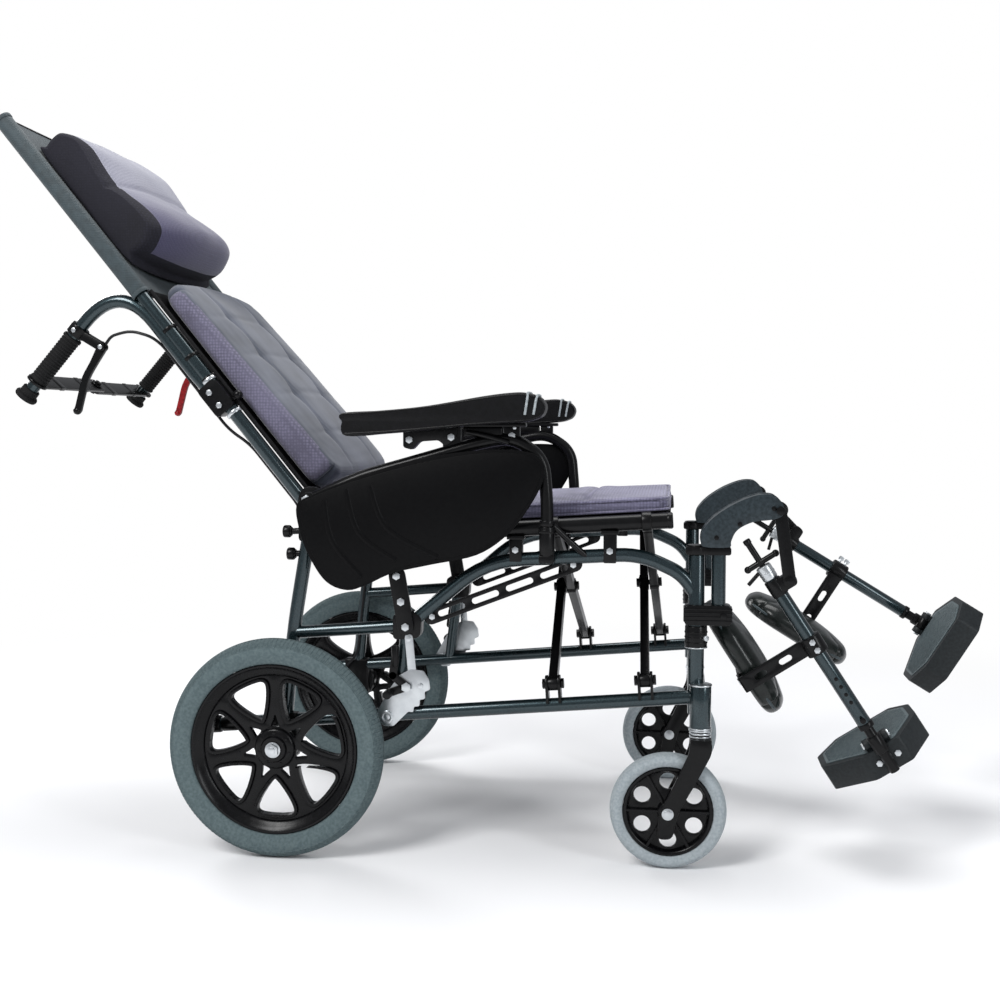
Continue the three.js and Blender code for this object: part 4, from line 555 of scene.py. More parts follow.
# Rear wheels
def tyre(bm, centre, bead, crown, half, shares, steps, tread=None):
    wall = crown - bead
    side = flowing([(bead + u * wall, w * half) for u, w in shares], 3, closed=False)
    lathe(bm, [(p.x, -p.y) for p in side] + [(p.x, p.y) for p in reversed(side[:-1])], centre, steps)
    if tread:
        axle = Vector(centre)
        blocks = [face for face in bm.faces
                  if (face.calc_center_median() - axle).xz.length > bead + tread * wall]
        bmesh.ops.inset_individual(bm, faces=blocks, thickness=0.9, depth=0.9, use_even_offset=True)


WHEEL = (0, WHEEL_Y, WHEEL_RADIUS)
WINDOW = [(44, 0), (48, 6.5), (58, 15), (72, 24.5), (86, 32), (97, 35.5), (105, 33.5), (110, 26), (112, 12),
          (112.4, 0)]
FOOT_HOLE = [(53, 0), (44, 3.4), (37, 6.2), (35, 5.4), (34.4, 0)]
WINDOWS = 7
DOWN = -math.pi / 2


def petals(shape, start, grow=0):
    """Copies of a half outline of (distance from the hub, half width), mirrored and set round the hub."""
    whole = flowing(shape + [(out, -wide) for out, wide in reversed(shape[1:-1])], 4)
    spread = []
    for before, spot, after in zip(whole[-1:] + whole, whole, whole[1:] + whole[:1]):
        along = (after - before).normalized()
        spread.append(spot + Vector((along.y, -along.x)) * grow)
    return [[(p.x * cos - p.y * sin, p.x * sin + p.y * cos) for p in spread]
            for cos, sin in around(WINDOWS, 1, start)]


@pair(REAR_RUBBER, "wheel", "rear_tyre", smooth=32)
def rear_tyre_ring(bm, side):
    shares = [(0, 0.66), (0.06, 0.8), (0.26, 0.92), (0.55, 1), (0.75, 0.9), (0.88, 0.7), (0.96, 0.4),
              (1, 0.12), (1, 0)]
    tyre(bm, WHEEL, 136, WHEEL_RADIUS - 0.9, 22, shares, 160, 0.72)


@pair(NYLON, "wheel", "rear_rim")
def rear_spoked_rim(bm, side):
    between = DOWN + math.pi / WINDOWS
    windows = petals(WINDOW, DOWN)
    slab(bm, disc((0, 0), 119.5, 112), -4.6, 4.6, 1.6, windows + petals(FOOT_HOLE, between))
    for inner, outer in zip(windows, petals(WINDOW, DOWN, 5)):
        slab(bm, outer, -7.4, 7.4, 1.8, [inner])
    move(bm, Matrix.Translation(WHEEL))
    bead = [(135.7, 15.6), (134.4, 17), (131.6, 16.8), (129.6, 14.6), (125, 11.6), (119.6, 8.6), (116.6, 5.6),
            (116.2, 3)]
    lathe(bm, mirrored(bead), WHEEL, 112)
    hub = [(6.6, 15.4), (12.8, 15.4), (13.4, 17), (19, 17), (20.4, 15.6), (21.4, 12.2), (29, 11.4),
           (31.6, 9.6), (33, 6), (33.4, 3)]
    lathe(bm, mirrored(hub), WHEEL, 72)
    for place in around(WINDOWS, 25.2, between, (0, WHEEL_RADIUS)):
        for y in (WHEEL_Y - 12.4, WHEEL_Y + 9.6):
            pin(bm, place, y, y + 2.8, 2.6, 12, 0.5)


# Caster wheels and forks
CASTER = (WHEELBASE, CASTER_Y, CASTER_RADIUS)
CASTER_AXLE = (WHEELBASE, CASTER_RADIUS)


@pair(CASTER_RUBBER, "caster_wheel", "caster_tyre")
def caster_tyre_ring(bm, side):
    shares = [(0, 0.66), (0.08, 0.78), (0.3, 0.92), (0.55, 1), (0.78, 0.88), (0.93, 0.56), (1, 0.2), (1, 0)]
    tyre(bm, CASTER, 70, CASTER_RADIUS, 16, shares, 120)


@pair(NYLON, "caster_wheel", "caster_hub")
def caster_ribbed_hub(bm, side):
    holes = [disc(place, 13.2, 28) for place in around(6, 46, math.pi / 6)]
    slab(bm, disc((0, 0), 63, 72), -4, 4, 1.2, holes)
    for inner, outer in zip(around(6, 13), around(6, 62)):
        slab(bm, stadium(inner, outer, 4.4, 4), -11, 11, 1.2)
    move(bm, Matrix.Translation(CASTER))
    lathe(bm, mirrored([(69.7, 11), (68.6, 12.4), (66, 12.4), (63.6, 11), (62, 8), (61.4, 4)]), CASTER, 96)
    lathe(bm, mirrored([(5.4, 16), (12.4, 16), (14.4, 14.8), (15.4, 11), (17, 6)]), CASTER, 48)


@pair(BLACK, "caster", "caster_fork")
def caster_fork_blades(bm, side):
    blade = [(650.5, 206), (684.5, 206), (684.5, 186), (664, 146), (634, 92), (625, 50), (601, 50), (606, 92),
             (634, 150), (650.5, 188)]
    for inner, outer in ((19.5, 24.5), (-24.5, -19.5)):
        slab(bm, blade, CASTER_Y + inner, CASTER_Y + outer, 1.4, bend=10)
    block(bm, (651, CASTER_Y - 23.6, 190.6), (684, CASTER_Y + 23.6, 206), 2, 3)
    for row in ((205, 212, 15.5, 40, 1), (211, 280, 8, 24, 1)):
        post(bm, STEM_X, CASTER_Y, *row)


@pair(ZINC, "caster")
def caster_fork_hardware(bm, side):
    for way in (1, -1):
        face = CASTER_Y + way * 24.5
        pin(bm, CASTER_AXLE, face, face + way * 1.4, 9.2, 32, 0.4)
        bolt(bm, (WHEELBASE, face + way * 1.4, CASTER_RADIUS), (0, way, 0), 7.4, 3.4)
    pin(bm, CASTER_AXLE, CASTER_Y - 24, CASTER_Y + 24, 5, 24, 0)
    for low, high in ((206, 209.4), (211, 214.6)):
        post(bm, STEM_X, CASTER_Y, low, high, 16.6, 40, 1)


# Side frames
def rail_z(x):
    return 198 + 68 * (x + 118) / 777


def seat_rail_z(x):
    return 532 + (x - 497.06) * math.tan(math.radians(3.7))


RAIL_BLOCKS = (379, 526)


@pair(ENAMEL, "frame", "side_frame")
def frame_tubes(bm, side):
    pipe(bm, at([(-118, 198), (659, 266)]), TUBE)
    pipe(bm, at([(46, 524), (16, 352), (2, 200)]), TUBE, 55)
    pipe(bm, at([(16, 352), (196, 367)]), 10)
    pipe(bm, at([(203, 358), (187, 226)]), 10)
    pipe(bm, at([(214, 375), (332, 473), (572, 487), (636, 458), (660, 424)]), TUBE, 55)
    post(bm, POST_X, FRAME_Y, 240, 487.5, 12.5, 32, 1)
    post(bm, STEM_X, CASTER_Y, 219.6, 286, 16.5, 36, 1)


@pair(BLACK, "frame")
def frame_fittings(bm, side):
    y = FRAME_Y
    for x, radius in ((-132, 14), (-104, 12.4)):
        rod(bm, (x, y, rail_z(x)), (x + 26, y, rail_z(x + 26)), radius, 32, 2)
    slab(bm, [(183, 346), (227, 350), (229, 384), (213, 392), (183, 388)], y - 13, y + 13, 2, bend=9)
    block(bm, (-24, y - TUBE, 151), (24, y + TUBE, 222), 4, 3)
    pin(bm, (0, WHEEL_RADIUS), y, -267.7, 32, 56, 3)
    # The slotted brace
    start, end = Vector((243, 382)), Vector((471, 470))
    step = 18 / (end - start).length
    slots = []
    for share in [(i + 0.6) / 4.2 for i in range(4)]:
        slots.append(stadium(start.lerp(end, share - step), start.lerp(end, share + step), 10, 6))
    slab(bm, stadium(start, end, 24, 10), y - 2.5, y + 2.5, 1, slots)
    slab(bm, [(28, 500), (68, 500), (68, 574), (60, 588), (38, 588), (28, 574)], y - 6, y + 6, 1.6, bend=8)
    post(bm, POST_X, y, 343, 377.7, 17, 40, 1.4)
    for z in (352, 360, 368):
        post(bm, POST_X, y, z - 1.2, z + 1.2, 17.8, 40, 0.6)
    for x in RAIL_BLOCKS:
        top = seat_rail_z(x) - 13.2
        block(bm, (x - 10, y - 12, 473), (x + 10, y + 12, top), 2)
        slab(bm, [(x - 14, top - 3), (x + 14, top - 3), (x + 13, top + 3), (x - 13, top + 3)], y - 12.6,
             y + 12.6, bend=2)
    # The arm's socket and its strut
    block(bm, (418, ARM_Y - 12, 474), (442, y, 486), 2)
    for row in ((484, 530, 12.2, 36, 1.2), (520, 526, 13.4, 36, 1)):
        post(bm, SOCKET_X, ARM_Y, *row)
    pipe(bm, [(434, -264, 537), (440, -262, 530), (489, -246, 483)], 5, 8)
    slab(bm, stadium((205, 368), (191, 449), 26, 10), -259, -251, 1.4)
    # The two knobs behind the recline joint
    for x, z in ((14, 516), (20, 480)):
        rod(bm, (x, y, z), (46, y, z + 2), 5, 20, 0.6)
        rod(bm, (x - 12, y, z), (x, y, z), 10, 28, 2.4)
        rod(bm, (x - 5, y, z), (x + 2, y, z), 7.4, 28, 1)


@pair(ZINC, "frame")
def frame_hardware(bm, side):
    y = FRAME_Y
    axle = (0, WHEEL_RADIUS)
    pin(bm, axle, y, -311, 6)
    pin(bm, axle, -302.3, -304, 12.6, 36, 0.4)
    side_bolts(bm, [axle], -304, 11, 5.4)
    pin(bm, BACK_PIVOT, y, CANE_Y + 17.5, 6, 24, 1)
    side_bolts(bm, [BACK_PIVOT], y - 6, 9, 4)
    pin(bm, ARM_PIVOT, y, ARM_Y - 12.5, 6, 24, 1)
    side_bolts(bm, [ARM_PIVOT], ARM_Y - 11.6, 9, 4.6)
    side_bolts(bm, [(205, 368), (191, 449), (198, 408)], -259, 6.6, 3.6)
    side_bolts(bm, [(245, 383), (469, 469)], y - 2.5, 5.2, 3.4)
    side_bolts(bm, [(x, 492) for x in RAIL_BLOCKS], y - 12, 5.6, 3.2)
    for z, radius in ((216.4, 18), (219.2, 17.4), (286.4, 17.6)):
        post(bm, STEM_X, CASTER_Y, z, z + 2.6, radius, 40, 0.7)
    post(bm, POST_X, y, 343.4, 345.2, 17.6, 40, 0.4)
    bolt(bm, (671, y - 10, 360), (0.6, -0.8, 0), 5, 7)


# Folding braces and seat rails: u runs along the seat, n up from the brace feet
def fold_place(u, y, n):
    return seat_frame @ Vector((u, y, n))


def crosswise(bm, place):
    """Turns plates that were drawn along x and z to lie across the chair, and puts them in place."""
    swap = Matrix(((0, 1, 0, 0), (1, 0, 0, 0), (0, 0, 1, 0), (0, 0, 0, 1)))
    move(bm, place @ swap)
    bmesh.ops.reverse_faces(bm, faces=bm.faces[:])


BRACES = {"rear": -67, "front": 77}
LAP = 8.5
ARM_WIDTH = 15
RAIL_UP = 247
WAY = {"right": -1, "left": 1}


@pair(BLACK, "frame")
def brace_foot_cheeks(bm, side):
    for along in BRACES.values():
        for cheek in (-1, 1):
            low = along + WAY[side] * LAP + cheek * (ARM_WIDTH / 2 + 0.3)
            slab(bm, [(-13, -30), (13, -30), (13, 4), (8, 13), (-8, 13), (-13, 4)], low, low + cheek * 4, 0.8,
                 bend=5)
    crosswise(bm, seat_frame @ Matrix.Translation((0, FRAME_Y, 0)))


@pair(BLACK, "frame")
def brace_foot_bolts(bm, side):
    for along in BRACES.values():
        middle = along + WAY[side] * LAP
        start, end = fold_place(middle - 12.4, FRAME_Y, 0), fold_place(middle + 12.4, FRAME_Y, 0)
        rod(bm, start, end, 4.5, 20, 0.4)
        lean = (end - start).normalized()
        bolt(bm, end - lean * 0.4, lean, 8, 5)
        bolt(bm, start + lean * 0.4, -lean, 8, 5)


def brace_arm(along, way):
    """A brace arm from a foot to the other side's seat rail; way is -1 where the foot is on the right."""
    bm = bmesh.new()
    middle = along + way * LAP
    low, high = middle - ARM_WIDTH / 2, middle + ARM_WIDTH / 2
    foot, head = Vector((-way * FRAME_Y, 0)), Vector((way * FRAME_Y, RAIL_UP))
    bar = stadium(foot.lerp(head, 0.005), foot.lerp(head, 0.955), 20)
    slab(bm, bar, low + 0.6, high - 0.6, 3.4, segments=3)
    slab(bm, disc(foot, 11, 32), low, high, 1.4)
    slab(bm, disc(head, 15.5, 40), low, high, 1.4, [disc(head, 12.8, 40)])
    slab(bm, disc(foot.lerp(head, 0.5), 13, 32), low - 0.2, high + 0.2)
    crosswise(bm, seat_frame)
    return bm


for where, along in BRACES.items():
    for name, way in (("a", -1), ("b", 1)):
        make(f"{where}_brace_{name}", brace_arm(along, way), BLACK, f"brace_{name}",
             (f"{where}_brace_arm_{name}",))
    bm = bmesh.new()
    start, end = (fold_place(along + way * (LAP + ARM_WIDTH / 2), 0, RAIL_UP / 2) for way in (-1, 1))
    lean = (end - start).normalized()
    for face, out in ((start, -lean), (end, lean)):
        rod(bm, face - out * 0.4, face + out * 1.2, 10, 32, 0.4)
        bolt(bm, face + out * 1.2, out, 7.6, 4.6)
    rod(bm, start, end, 4.5, 20, 0.4)
    make(f"{where}_brace_pivot", bm, BLACK, "brace_a")


@pair(BLACK, "seat_side", "seat_rail")
def seat_rail_tube(bm, side):
    for u_from, u_to, radius, soft in ((-408, 126, 12.5, 2.4), (-407, -399, 12.9, 1.6),
                                       (117, 125, 12.9, 1.6)):
        rod(bm, fold_place(u_from, FRAME_Y, RAIL_UP), fold_place(u_to, FRAME_Y, RAIL_UP), radius, 40, soft)


# Cushions and slings
def held(value, low, high):
    return min(max(value, low), high)


def pillow(bm, length, width, depth, corner, face_height, cuts, bulge, roundness, taper=None):
    """A closed cushion: its length lies along x, its width along y, and its crowned face looks along +z."""
    bmesh.ops.create_grid(bm, x_segments=cuts[0], y_segments=cuts[1], size=1)
    verts = of_kind(bmesh.ops.extrude_face_region(bm, geom=bm.faces[:])["geom"], bmesh.types.BMVert)
    bmesh.ops.translate(bm, vec=(0, 0, 1), verts=verts)
    upright = [edge for edge in bm.edges if abs(edge.verts[0].co.z - edge.verts[1].co.z) > 0.5]
    bmesh.ops.subdivide_edges(bm, edges=upright, cuts=5, use_grid_fill=True)
    for vert in bm.verts:
        u, v, level = vert.co
        thick = depth * (taper(u) if taper else 1)
        soft = min(corner, thick * 0.5)
        p = Vector((u * length / 2, v * width / 2, level * thick))
        inner = Vector((held(p.x, corner - length / 2, length / 2 - corner),
                        held(p.y, corner - width / 2, width / 2 - corner), held(p.z, soft, thick - soft)))
        away = p - inner
        if away.length > 0:
            p = inner + away.normalized() * soft
        # The four corners of the cushion, seen from its face, are turned to a radius
        core = Vector((held(p.x, roundness - length / 2, length / 2 - roundness),
                       held(p.y, roundness - width / 2, width / 2 - roundness)))
        past = p.xy - core
        if past.x and past.y:
            p.xy = core + past.normalized() * max(abs(past.x), abs(past.y))
        p.x += math.copysign(bulge, u) * (1 - v * v) * abs(u) ** 6
        p.y += math.copysign(bulge, v) * (1 - u * u) * abs(v) ** 6
        if level > 0.5:
            p.z += face_height(u, v) * (level - 0.5) * 2
        vert.co = p
    face_outwards(bm)


def fade(share, power):
    return 1 - abs(share) ** power


def dimple(gap, width):
    return math.exp(-(gap / width) ** 2)


def crumple(u, v, scale, seed):
    return noise.noise(Vector((u * scale, v * scale, seed)))


def across(half, count):
    """Evenly spaced values from -half to half."""
    return [-half + 2 * half * i / count for i in range(count + 1)]


def ring_route(length, width, corner, steps):
    """The outline of a cushion's piping, closed."""
    outline = eased([(-length / 2, -width / 2), (length / 2, -width / 2), (length / 2, width / 2),
                     (-length / 2, width / 2)], corner, steps)
    return outline + outline[:1]


def sling(name, node, body, cuts, place_of, place, rolls=()):
    """A stretched cloth: place_of gives each place from two shares of -1 to 1."""
    bm = bmesh.new()
    bmesh.ops.create_grid(bm, x_segments=cuts[0], y_segments=cuts[1], size=1)
    for vert in bm.verts:
        vert.co = place_of(*vert.co.xy)
    bmesh.ops.solidify(bm, geom=bm.faces[:], thickness=CLOTH)
    for roll in rolls:
        pipe(bm, roll, 3.6, 0, 12)
    face_outwards(bm)
    return make(name, bm, PACKCLOTH, body, (node,), place)


SEAT_LENGTH, SEAT_WIDTH, SEAT_DEPTH = 530, 428, 22.4
SEAT_SLING_HALF, BACK_SLING_HALF = 226, 213
SEAT_MIDDLE = -141.5
BACK_LENGTH, BACK_WIDTH = 417, 386
LOIN, NAPE = 1.45, 0.95
TUFT_ROWS = (-0.62, -0.2, 0.22, 0.62)
SEAMS = (-0.45, 0.45)


def seat_face(u, v):
    height = 9 * fade(u, 3) * fade(v, 3)
    for place in (-0.5, 0, 0.5):
        height -= 4.5 * dimple(u - place, 0.018) * fade(v, 10)
        height += 1.6 * dimple(abs(u - place) - 0.07, 0.05) * fade(v, 6)
    return height + 1.4 * crumple(u, v, 2.6, 3.0) * fade(u, 6) * fade(v, 6)


bm = bmesh.new()
pillow(bm, SEAT_LENGTH, SEAT_WIDTH, SEAT_DEPTH, 16, seat_face, (150, 110), -5, 26)
for height in (SEAT_DEPTH - 2.5, 3):
    route = []
    outline = ring_route(SEAT_LENGTH - 6, SEAT_WIDTH - 6, 26, 8)
    for start, end in zip(outline, outline[1:]):
        route += [Vector((*start, height)).lerp(Vector((*end, height)), step / 4) for step in range(4)]
    pipe(bm, route + route[:1], 2.2, 0, 10)
seat_cushion = make("seat_cushion_cover", bm, SEAT_MESH, "right_seat_side", ("seat_cushion",),
                    seat_frame @ Matrix.Translation((SEAT_MIDDLE, 0, 259.9)), smooth=ROUND_SMOOTH)
seat_sling = sling(
    "seat_sling", "seat_base", "right_seat_side", (60, 48),
    lambda u, v: (SEAT_MIDDLE + u * 263.5, v * SEAT_SLING_HALF, 256.5 - 2.2 * fade(v, 2)), seat_frame)


def back_taper(u):
    # The cushion is thick at the loins and thins towards the head
    return (LOIN + (NAPE - LOIN) * (u + 1) / 2) * 0.98


def back_face(u, v):
    height = 14 * fade(u, 4) * fade(v, 3)
    for row in TUFT_ROWS:
        for seam in SEAMS:
            height -= 4.5 * dimple(math.hypot(u - row, v - seam), 0.1)
        height -= 1.2 * dimple(u - row, 0.03) * fade(v, 4)
    for seam in SEAMS:
        height -= 2.6 * dimple(v - seam, 0.035) * fade(u, 8)
    return height + 2.2 * crumple(u, v, 2.2, 7.0) * fade(u, 6) * fade(v, 6)


# The back cushion's length stands up the back frame and its crown looks forward
upright = Matrix(((0, 0, 1, 0), (0, -1, 0, 0), (1, 0, 0, 0), (0, 0, 0, 1)))
bm = bmesh.new()
pillow(bm, BACK_LENGTH, BACK_WIDTH, 35.6, 15, back_face, (120, 110), 7, 34, back_taper)
for face in bm.faces:
    if abs(face.calc_center_median().y) > BACK_WIDTH / 2 - 7:
        face.material_index = 1
for vert in bm.verts:
    vert.co.x += 9 * fade(min(abs(vert.co.y) / 190, 1), 2) * max(vert.co.x / 208, 0) ** 3
back_cushion = make("back_cushion_cover", bm, BACK_FABRIC, "right_back", ("back_cushion",),
                    back_frame @ Matrix.Translation((18.6, 0, 242.5)) @ upright,
                    smooth=ROUND_SMOOTH, second=SIDE_MESH)
back_sling = sling(
    "back_sling", "back_panel", "right_back", (48, 44),
    lambda u, v: (14.4 - 1.5 * fade(u, 2), u * BACK_SLING_HALF, 242 + v * 218), back_frame,
    [[(15.4, way * 211, 25), (15.4, way * 211, 459)] for way in (-1, 1)])

# The upper sling hangs between two sleeves that are drawn over the canes; each sleeve stays on its own cane
HEAD_SLING_HALF = -CANE_Y - 13.4


def sag(y, depth):
    return -depth * fade(y / HEAD_SLING_HALF, 2)


bm = bmesh.new()
sections = []
for h in [463 + 372 * step / 44 for step in range(45)]:
    row = across(HEAD_SLING_HALF, 40)
    front, rear = ([(a + sag(y, 2.4), y, h) for y in row] for a in (6, 0.6))
    sections.append(front + rear[::-1])
loft(bm, sections)
head_sling = make("head_sling", bm, CANVAS, "right_back", ("head_panel",), back_frame, smooth=SLING_SMOOTH)


@pair(CANVAS, "back", place=back_frame, smooth=SLING_SMOOTH)
def head_sling_sleeve(bm, side):
    for low, high, outer in ((462, 836, 14.4), (461, 468, 15.6), (830, 837, 15.6)):
        rings = [(12.9, low + 1), (outer - 0.5, low), (outer, low + 1.2), (outer, high - 1.2),
                 (outer - 0.5, high), (12.9, high - 1)]
        rows = [[(x, CANE_Y + y, h) for y, x in around(40, radius)] for radius, h in rings]
        loft(bm, rows, capped=False)


bm = bmesh.new()
for h in (464.5, 833.5):
    pipe(bm, [(2.6 + sag(y, 1.6), y, h) for y in across(HEAD_SLING_HALF, 24)], 4.2, 0, 12)
head_binding = make("head_sling_binding", bm, PACKCLOTH, "right_back", (), back_frame)

# The headrest's outline at its middle and at its ends, forward of the canes and up them
HEAD_MIDDLE = [(0, 530), (0, 765), (14, 784), (44, 784), (62, 762), (74, 731), (82, 693), (80, 648),
               (81, 620), (92, 587), (101, 556), (103, 535), (95, 519), (75, 508), (47, 503), (16, 513)]
HEAD_END = [(0, 545), (0, 757), (14, 771), (40, 774), (52, 765), (60, 750), (61, 735), (57, 705), (53, 678),
            (54, 651), (63, 618), (69, 582), (67, 556), (53, 544), (36, 537), (14, 538)]
HEAD_HALF = 182
HEAD_OUT = Vector((6.8, 0))


def head_row(v, tuck):
    """The headrest's outline at a share of its half width; tuck draws it in where an end rounds off."""
    mix = abs(v) ** 3
    curve = flowing([Vector(a).lerp(Vector(b), mix) + HEAD_OUT for a, b in zip(HEAD_MIDDLE, HEAD_END)], 6)
    middle = sum(curve, Vector((0, 0))) / len(curve)
    row = []
    for spot in curve:
        pull = middle - spot
        a, h = spot + pull.normalized() * min(9 * tuck, pull.length * 0.5)
        if a > 30:
            a += 1.6 * crumple(v * 2, h / 90, 1.5, 2.0)
            a -= 3 * dimple(h - 640 - 10 * mix, 5)
            a -= 1.4 * dimple(abs(v) - 0.86, 0.012)
        row.append((a, v * HEAD_HALF, h))
    return row


bm = bmesh.new()
ends = [math.pi / 2 * step / 8 for step in range(9)]
ends = [(-1 + 0.055 * (1 - math.cos(turn)), 1 - math.sin(turn)) for turn in ends]
stations = ends + [(-0.945 + 1.89 * i / 72, 0) for i in range(1, 72)]
stations += [(-v, tuck) for v, tuck in reversed(ends)]
rows = [head_row(*station) for station in stations]
loft(bm, rows)
bm.verts.index_update()
for face in bm.faces:
    # A face's first place tells its row and how far round the outline it lies; both caps start at place 0
    row, place = divmod(min(vert.index for vert in face.verts), len(rows[0]))
    rear = place < 10 or place > 84
    if rear or abs(stations[row][0] + stations[row + 1][0]) / 2 > 0.87:
        face.material_index = 1
head_cushion = make("head_cushion_cover", bm, HEAD_COVER, "right_back", ("head_cushion",), back_frame,
                    smooth=ROUND_SMOOTH, second=HEAD_SIDE_MESH)


# Back canes, push handles and brakes: a lies forward of the canes' middle and h up them
GRIP_SLOPE = 0.17236
BAR_A = (-229.3 - 239.6) / 2
LEVER_PIVOT = (-107, 440)


def handle_place(a):
    return a, CANE_Y, 506 + (a + 12) * GRIP_SLOPE


@pair(ENAMEL, "back", "back_cane", back_frame)
def back_cane_tube(bm, side):
    y = CANE_Y
    post(bm, 0, y, -14, 818, TUBE, 32, 1)
    pipe(bm, [(-6, y, 240), (-12, y, 292), (-12, y, 506), (-250, y, 465)], TUBE, 95, 24, 12)


@pair(BLACK, "back", place=back_frame)
def cane_fittings(bm, side):
    y = CANE_Y
    pin(bm, (0, 0), y - 17, y + 17, 15, 40, 1.4)
    slab(bm, [(-24, 222), (10, 222), (13, 228), (13, 270), (9, 277), (-24, 277)], y - 15, y + 15, 3,
         segments=3, bend=7)
    rod(bm, (13, y - 4, 232), (22, y - 4, 232), 3, 20, 0.4)
    post(bm, 13, y, 388, 271, 1.7, 12, 0.4)
    for h in (388, 330, 284):
        post(bm, 0, y, h - 3, h + 3, 12.6, 32, 1)
        block(bm, (8, y - 3.4, h - 3), (15.6, y + 3.4, h + 3), 1)
    pipe(bm, [(-13.4, y + 12, 262), (-12, y + 17, 250), (-6, y + 18.6, 246)], 3, 4, 12)
    # The brake lever's clamp round the handle
    x, _, z = handle_place(-122)
    rod(bm, handle_place(-131), handle_place(-113), 16, 40, 1.6)
    for low in (-8.6, 4.6):
        slab(bm, stadium((x + 2, z - 12), LEVER_PIVOT, 14), y + low, y + low + 4)


@pair(ZINC, "back", place=back_frame)
def cane_hardware(bm, side):
    y = CANE_Y
    for h in (214, 281):
        post(bm, 0, y, h - 3, h + 3, 13.6, 32, 1)
    side_bolts(bm, [(-8, 262), (-8, 236)], y - 15, 5.4, 3.4)
    side_bolts(bm, [(0, 0)], y - 17, 8, 3.6)
    x, _, z = handle_place(-122)
    side_bolts(bm, [(x, z)], y - 15.6, 4.4, 2.6)
    pin(bm, LEVER_PIVOT, y - 9.6, y + 9.6, 4, 20, 0.6)
    rod(bm, (-264, y, 462.6), (-246, y, 465.7), 6, 20, 0.6)


@pair(NYLON, "back", place=back_frame)
def cane_clamp_knob(bm, side):
    lathe(bm, [(0, 14), (4.4, 13.2), (7.4, 10.2), (8.4, 6), (7.4, 2), (4.4, 0), (0, -0.4)], steps=32)
    lay = Matrix.Translation((18, CANE_Y - 4, 232)) @ Matrix.Rotation(-math.pi / 2, 4, "Z")
    move(bm, lay)


@pair(GRIP_RUBBER, "back", "push_grip", back_frame)
def push_grip_ribbed(bm, side):
    start, end, tail, cap = (Vector(handle_place(a)) for a in (-135, -229, -246.5, -267))
    length, shift, close = ((place - start).length for place in (end, tail, cap))
    ribs = 15
    pitch = (length - 14) / ribs
    profile = [(11.3, 0), (15.2, 0.4), (16, 2), (16, 5), (14.4, 6.4)]
    for base in [7 + i * pitch for i in range(ribs)]:
        profile += [(13.9, base + 0.3), (15.1, base + pitch * 0.3), (15.1, base + pitch * 0.7),
                    (13.9, base + pitch - 0.3)]
    profile += [(15.4, length - 4), (16, length - 2.4), (15.2, length), (11.3, length)]
    lathe(bm, profile, steps=48)
    lathe(bm, [(0, close), (12, close), (18, close - 1), (19.2, close - 3.4), (19.2, close - 6.6),
               (17.8, close - 8.6), (15, close - 9.6), (14.6, shift + 1), (13.4, shift), (0, shift)],
          steps=48)
    lay = Matrix.Translation(start) @ (end - start).to_track_quat("Y", "Z").to_matrix().to_4x4()
    move(bm, lay)


# Both brake levers are red: the far one is given the red finish, and the near one the black finish as painted
# shade
for side, red_or_shaded_finish in (("right", BLACK[0]), ("left", LEVER_RED[0])):
    outline = [(-100, 446), (-104, 448), (-114, 445), (-138, 434), (-164, 424), (-188, 407), (-206, 394),
               (-212, 392), (-214, 386), (-210, 382), (-204, 382), (-198, 386), (-180, 399), (-158, 414),
               (-134, 423), (-108, 431), (-101, 435)]
    bm = bmesh.new()
    slab(bm, flowing(outline, 3), CANE_Y - 3.8, CANE_Y + 3.8, 2.4, [disc(LEVER_PIVOT, 4.2, 20)], 3)
    ball(bm, (-208, CANE_Y, 387), 6.4, 24, 14)
    lever = f"{side}_brake_lever"
    make(f"{lever}_bar", bm, (red_or_shaded_finish, LEVER_RED[1]), lever, (lever,), back_frame, side == "left")

# The cable's route, first in the back frame and then in the chair's
CABLE_ON_BACK = [(-99.1, -215, 440), (-83, -215, 444), (-52, -215, 430), (-31, -215, 400), (-27.2, -207, 380),
                 (-27.2, -207, 200), (-14.2, -207, 160), (-14.2, -207, 26)]
CABLE_ON_FRAME = [(32, -222, 505), (18, -222, 352), (4, -222, 232), (-20, -222, 206), (-20, -222, 190),
                  (-20, -228.6, 190)]


@pair(SHEATH, None, "brake_cable")
def brake_cable_sheath(bm, side):
    places = [back_frame @ Vector(place) for place in CABLE_ON_BACK]
    places += [Vector(place) for place in CABLE_ON_FRAME]
    route = rounded(places, 20, 8)
    fine = []
    for first, second in zip(route, route[1:]):
        parts = max(1, round((second - first).length / 9))
        fine += [first.lerp(second, i / parts) for i in range(parts)]
    pipe(bm, fine + [route[-1]], 2.5, 0, 12)


@pair(BLACK, "handle_bar", "handle_spreader", back_frame)
def handle_spreader_strap(bm, side):
    """Half of the folding handle bar: its eye turns on the handle and its strap reaches the middle."""
    x, _, z = handle_place(BAR_A)
    low, high = (0.15, 5.15) if side == "right" else (-5.15, -0.15)
    slab(bm, oblong(CANE_Y - 2, 16, -16, 16), low, high, 1.8, segments=3, bend=9)
    slab(bm, disc((CANE_Y, 0), 18.6, 40), low - 0.1, high + 0.1, 1.6, [disc((CANE_Y, 0), 11.6, 32)])
    for y in (-150, -60):
        slab(bm, oblong(y - 9, y + 9, -16.6, 16.6), low - 0.5, high + 0.5, 0.4, bend=3)
    crosswise(bm, Matrix.Translation((x, 0, z)) @ Matrix.Rotation(-math.atan(GRIP_SLOPE), 4, "Y"))


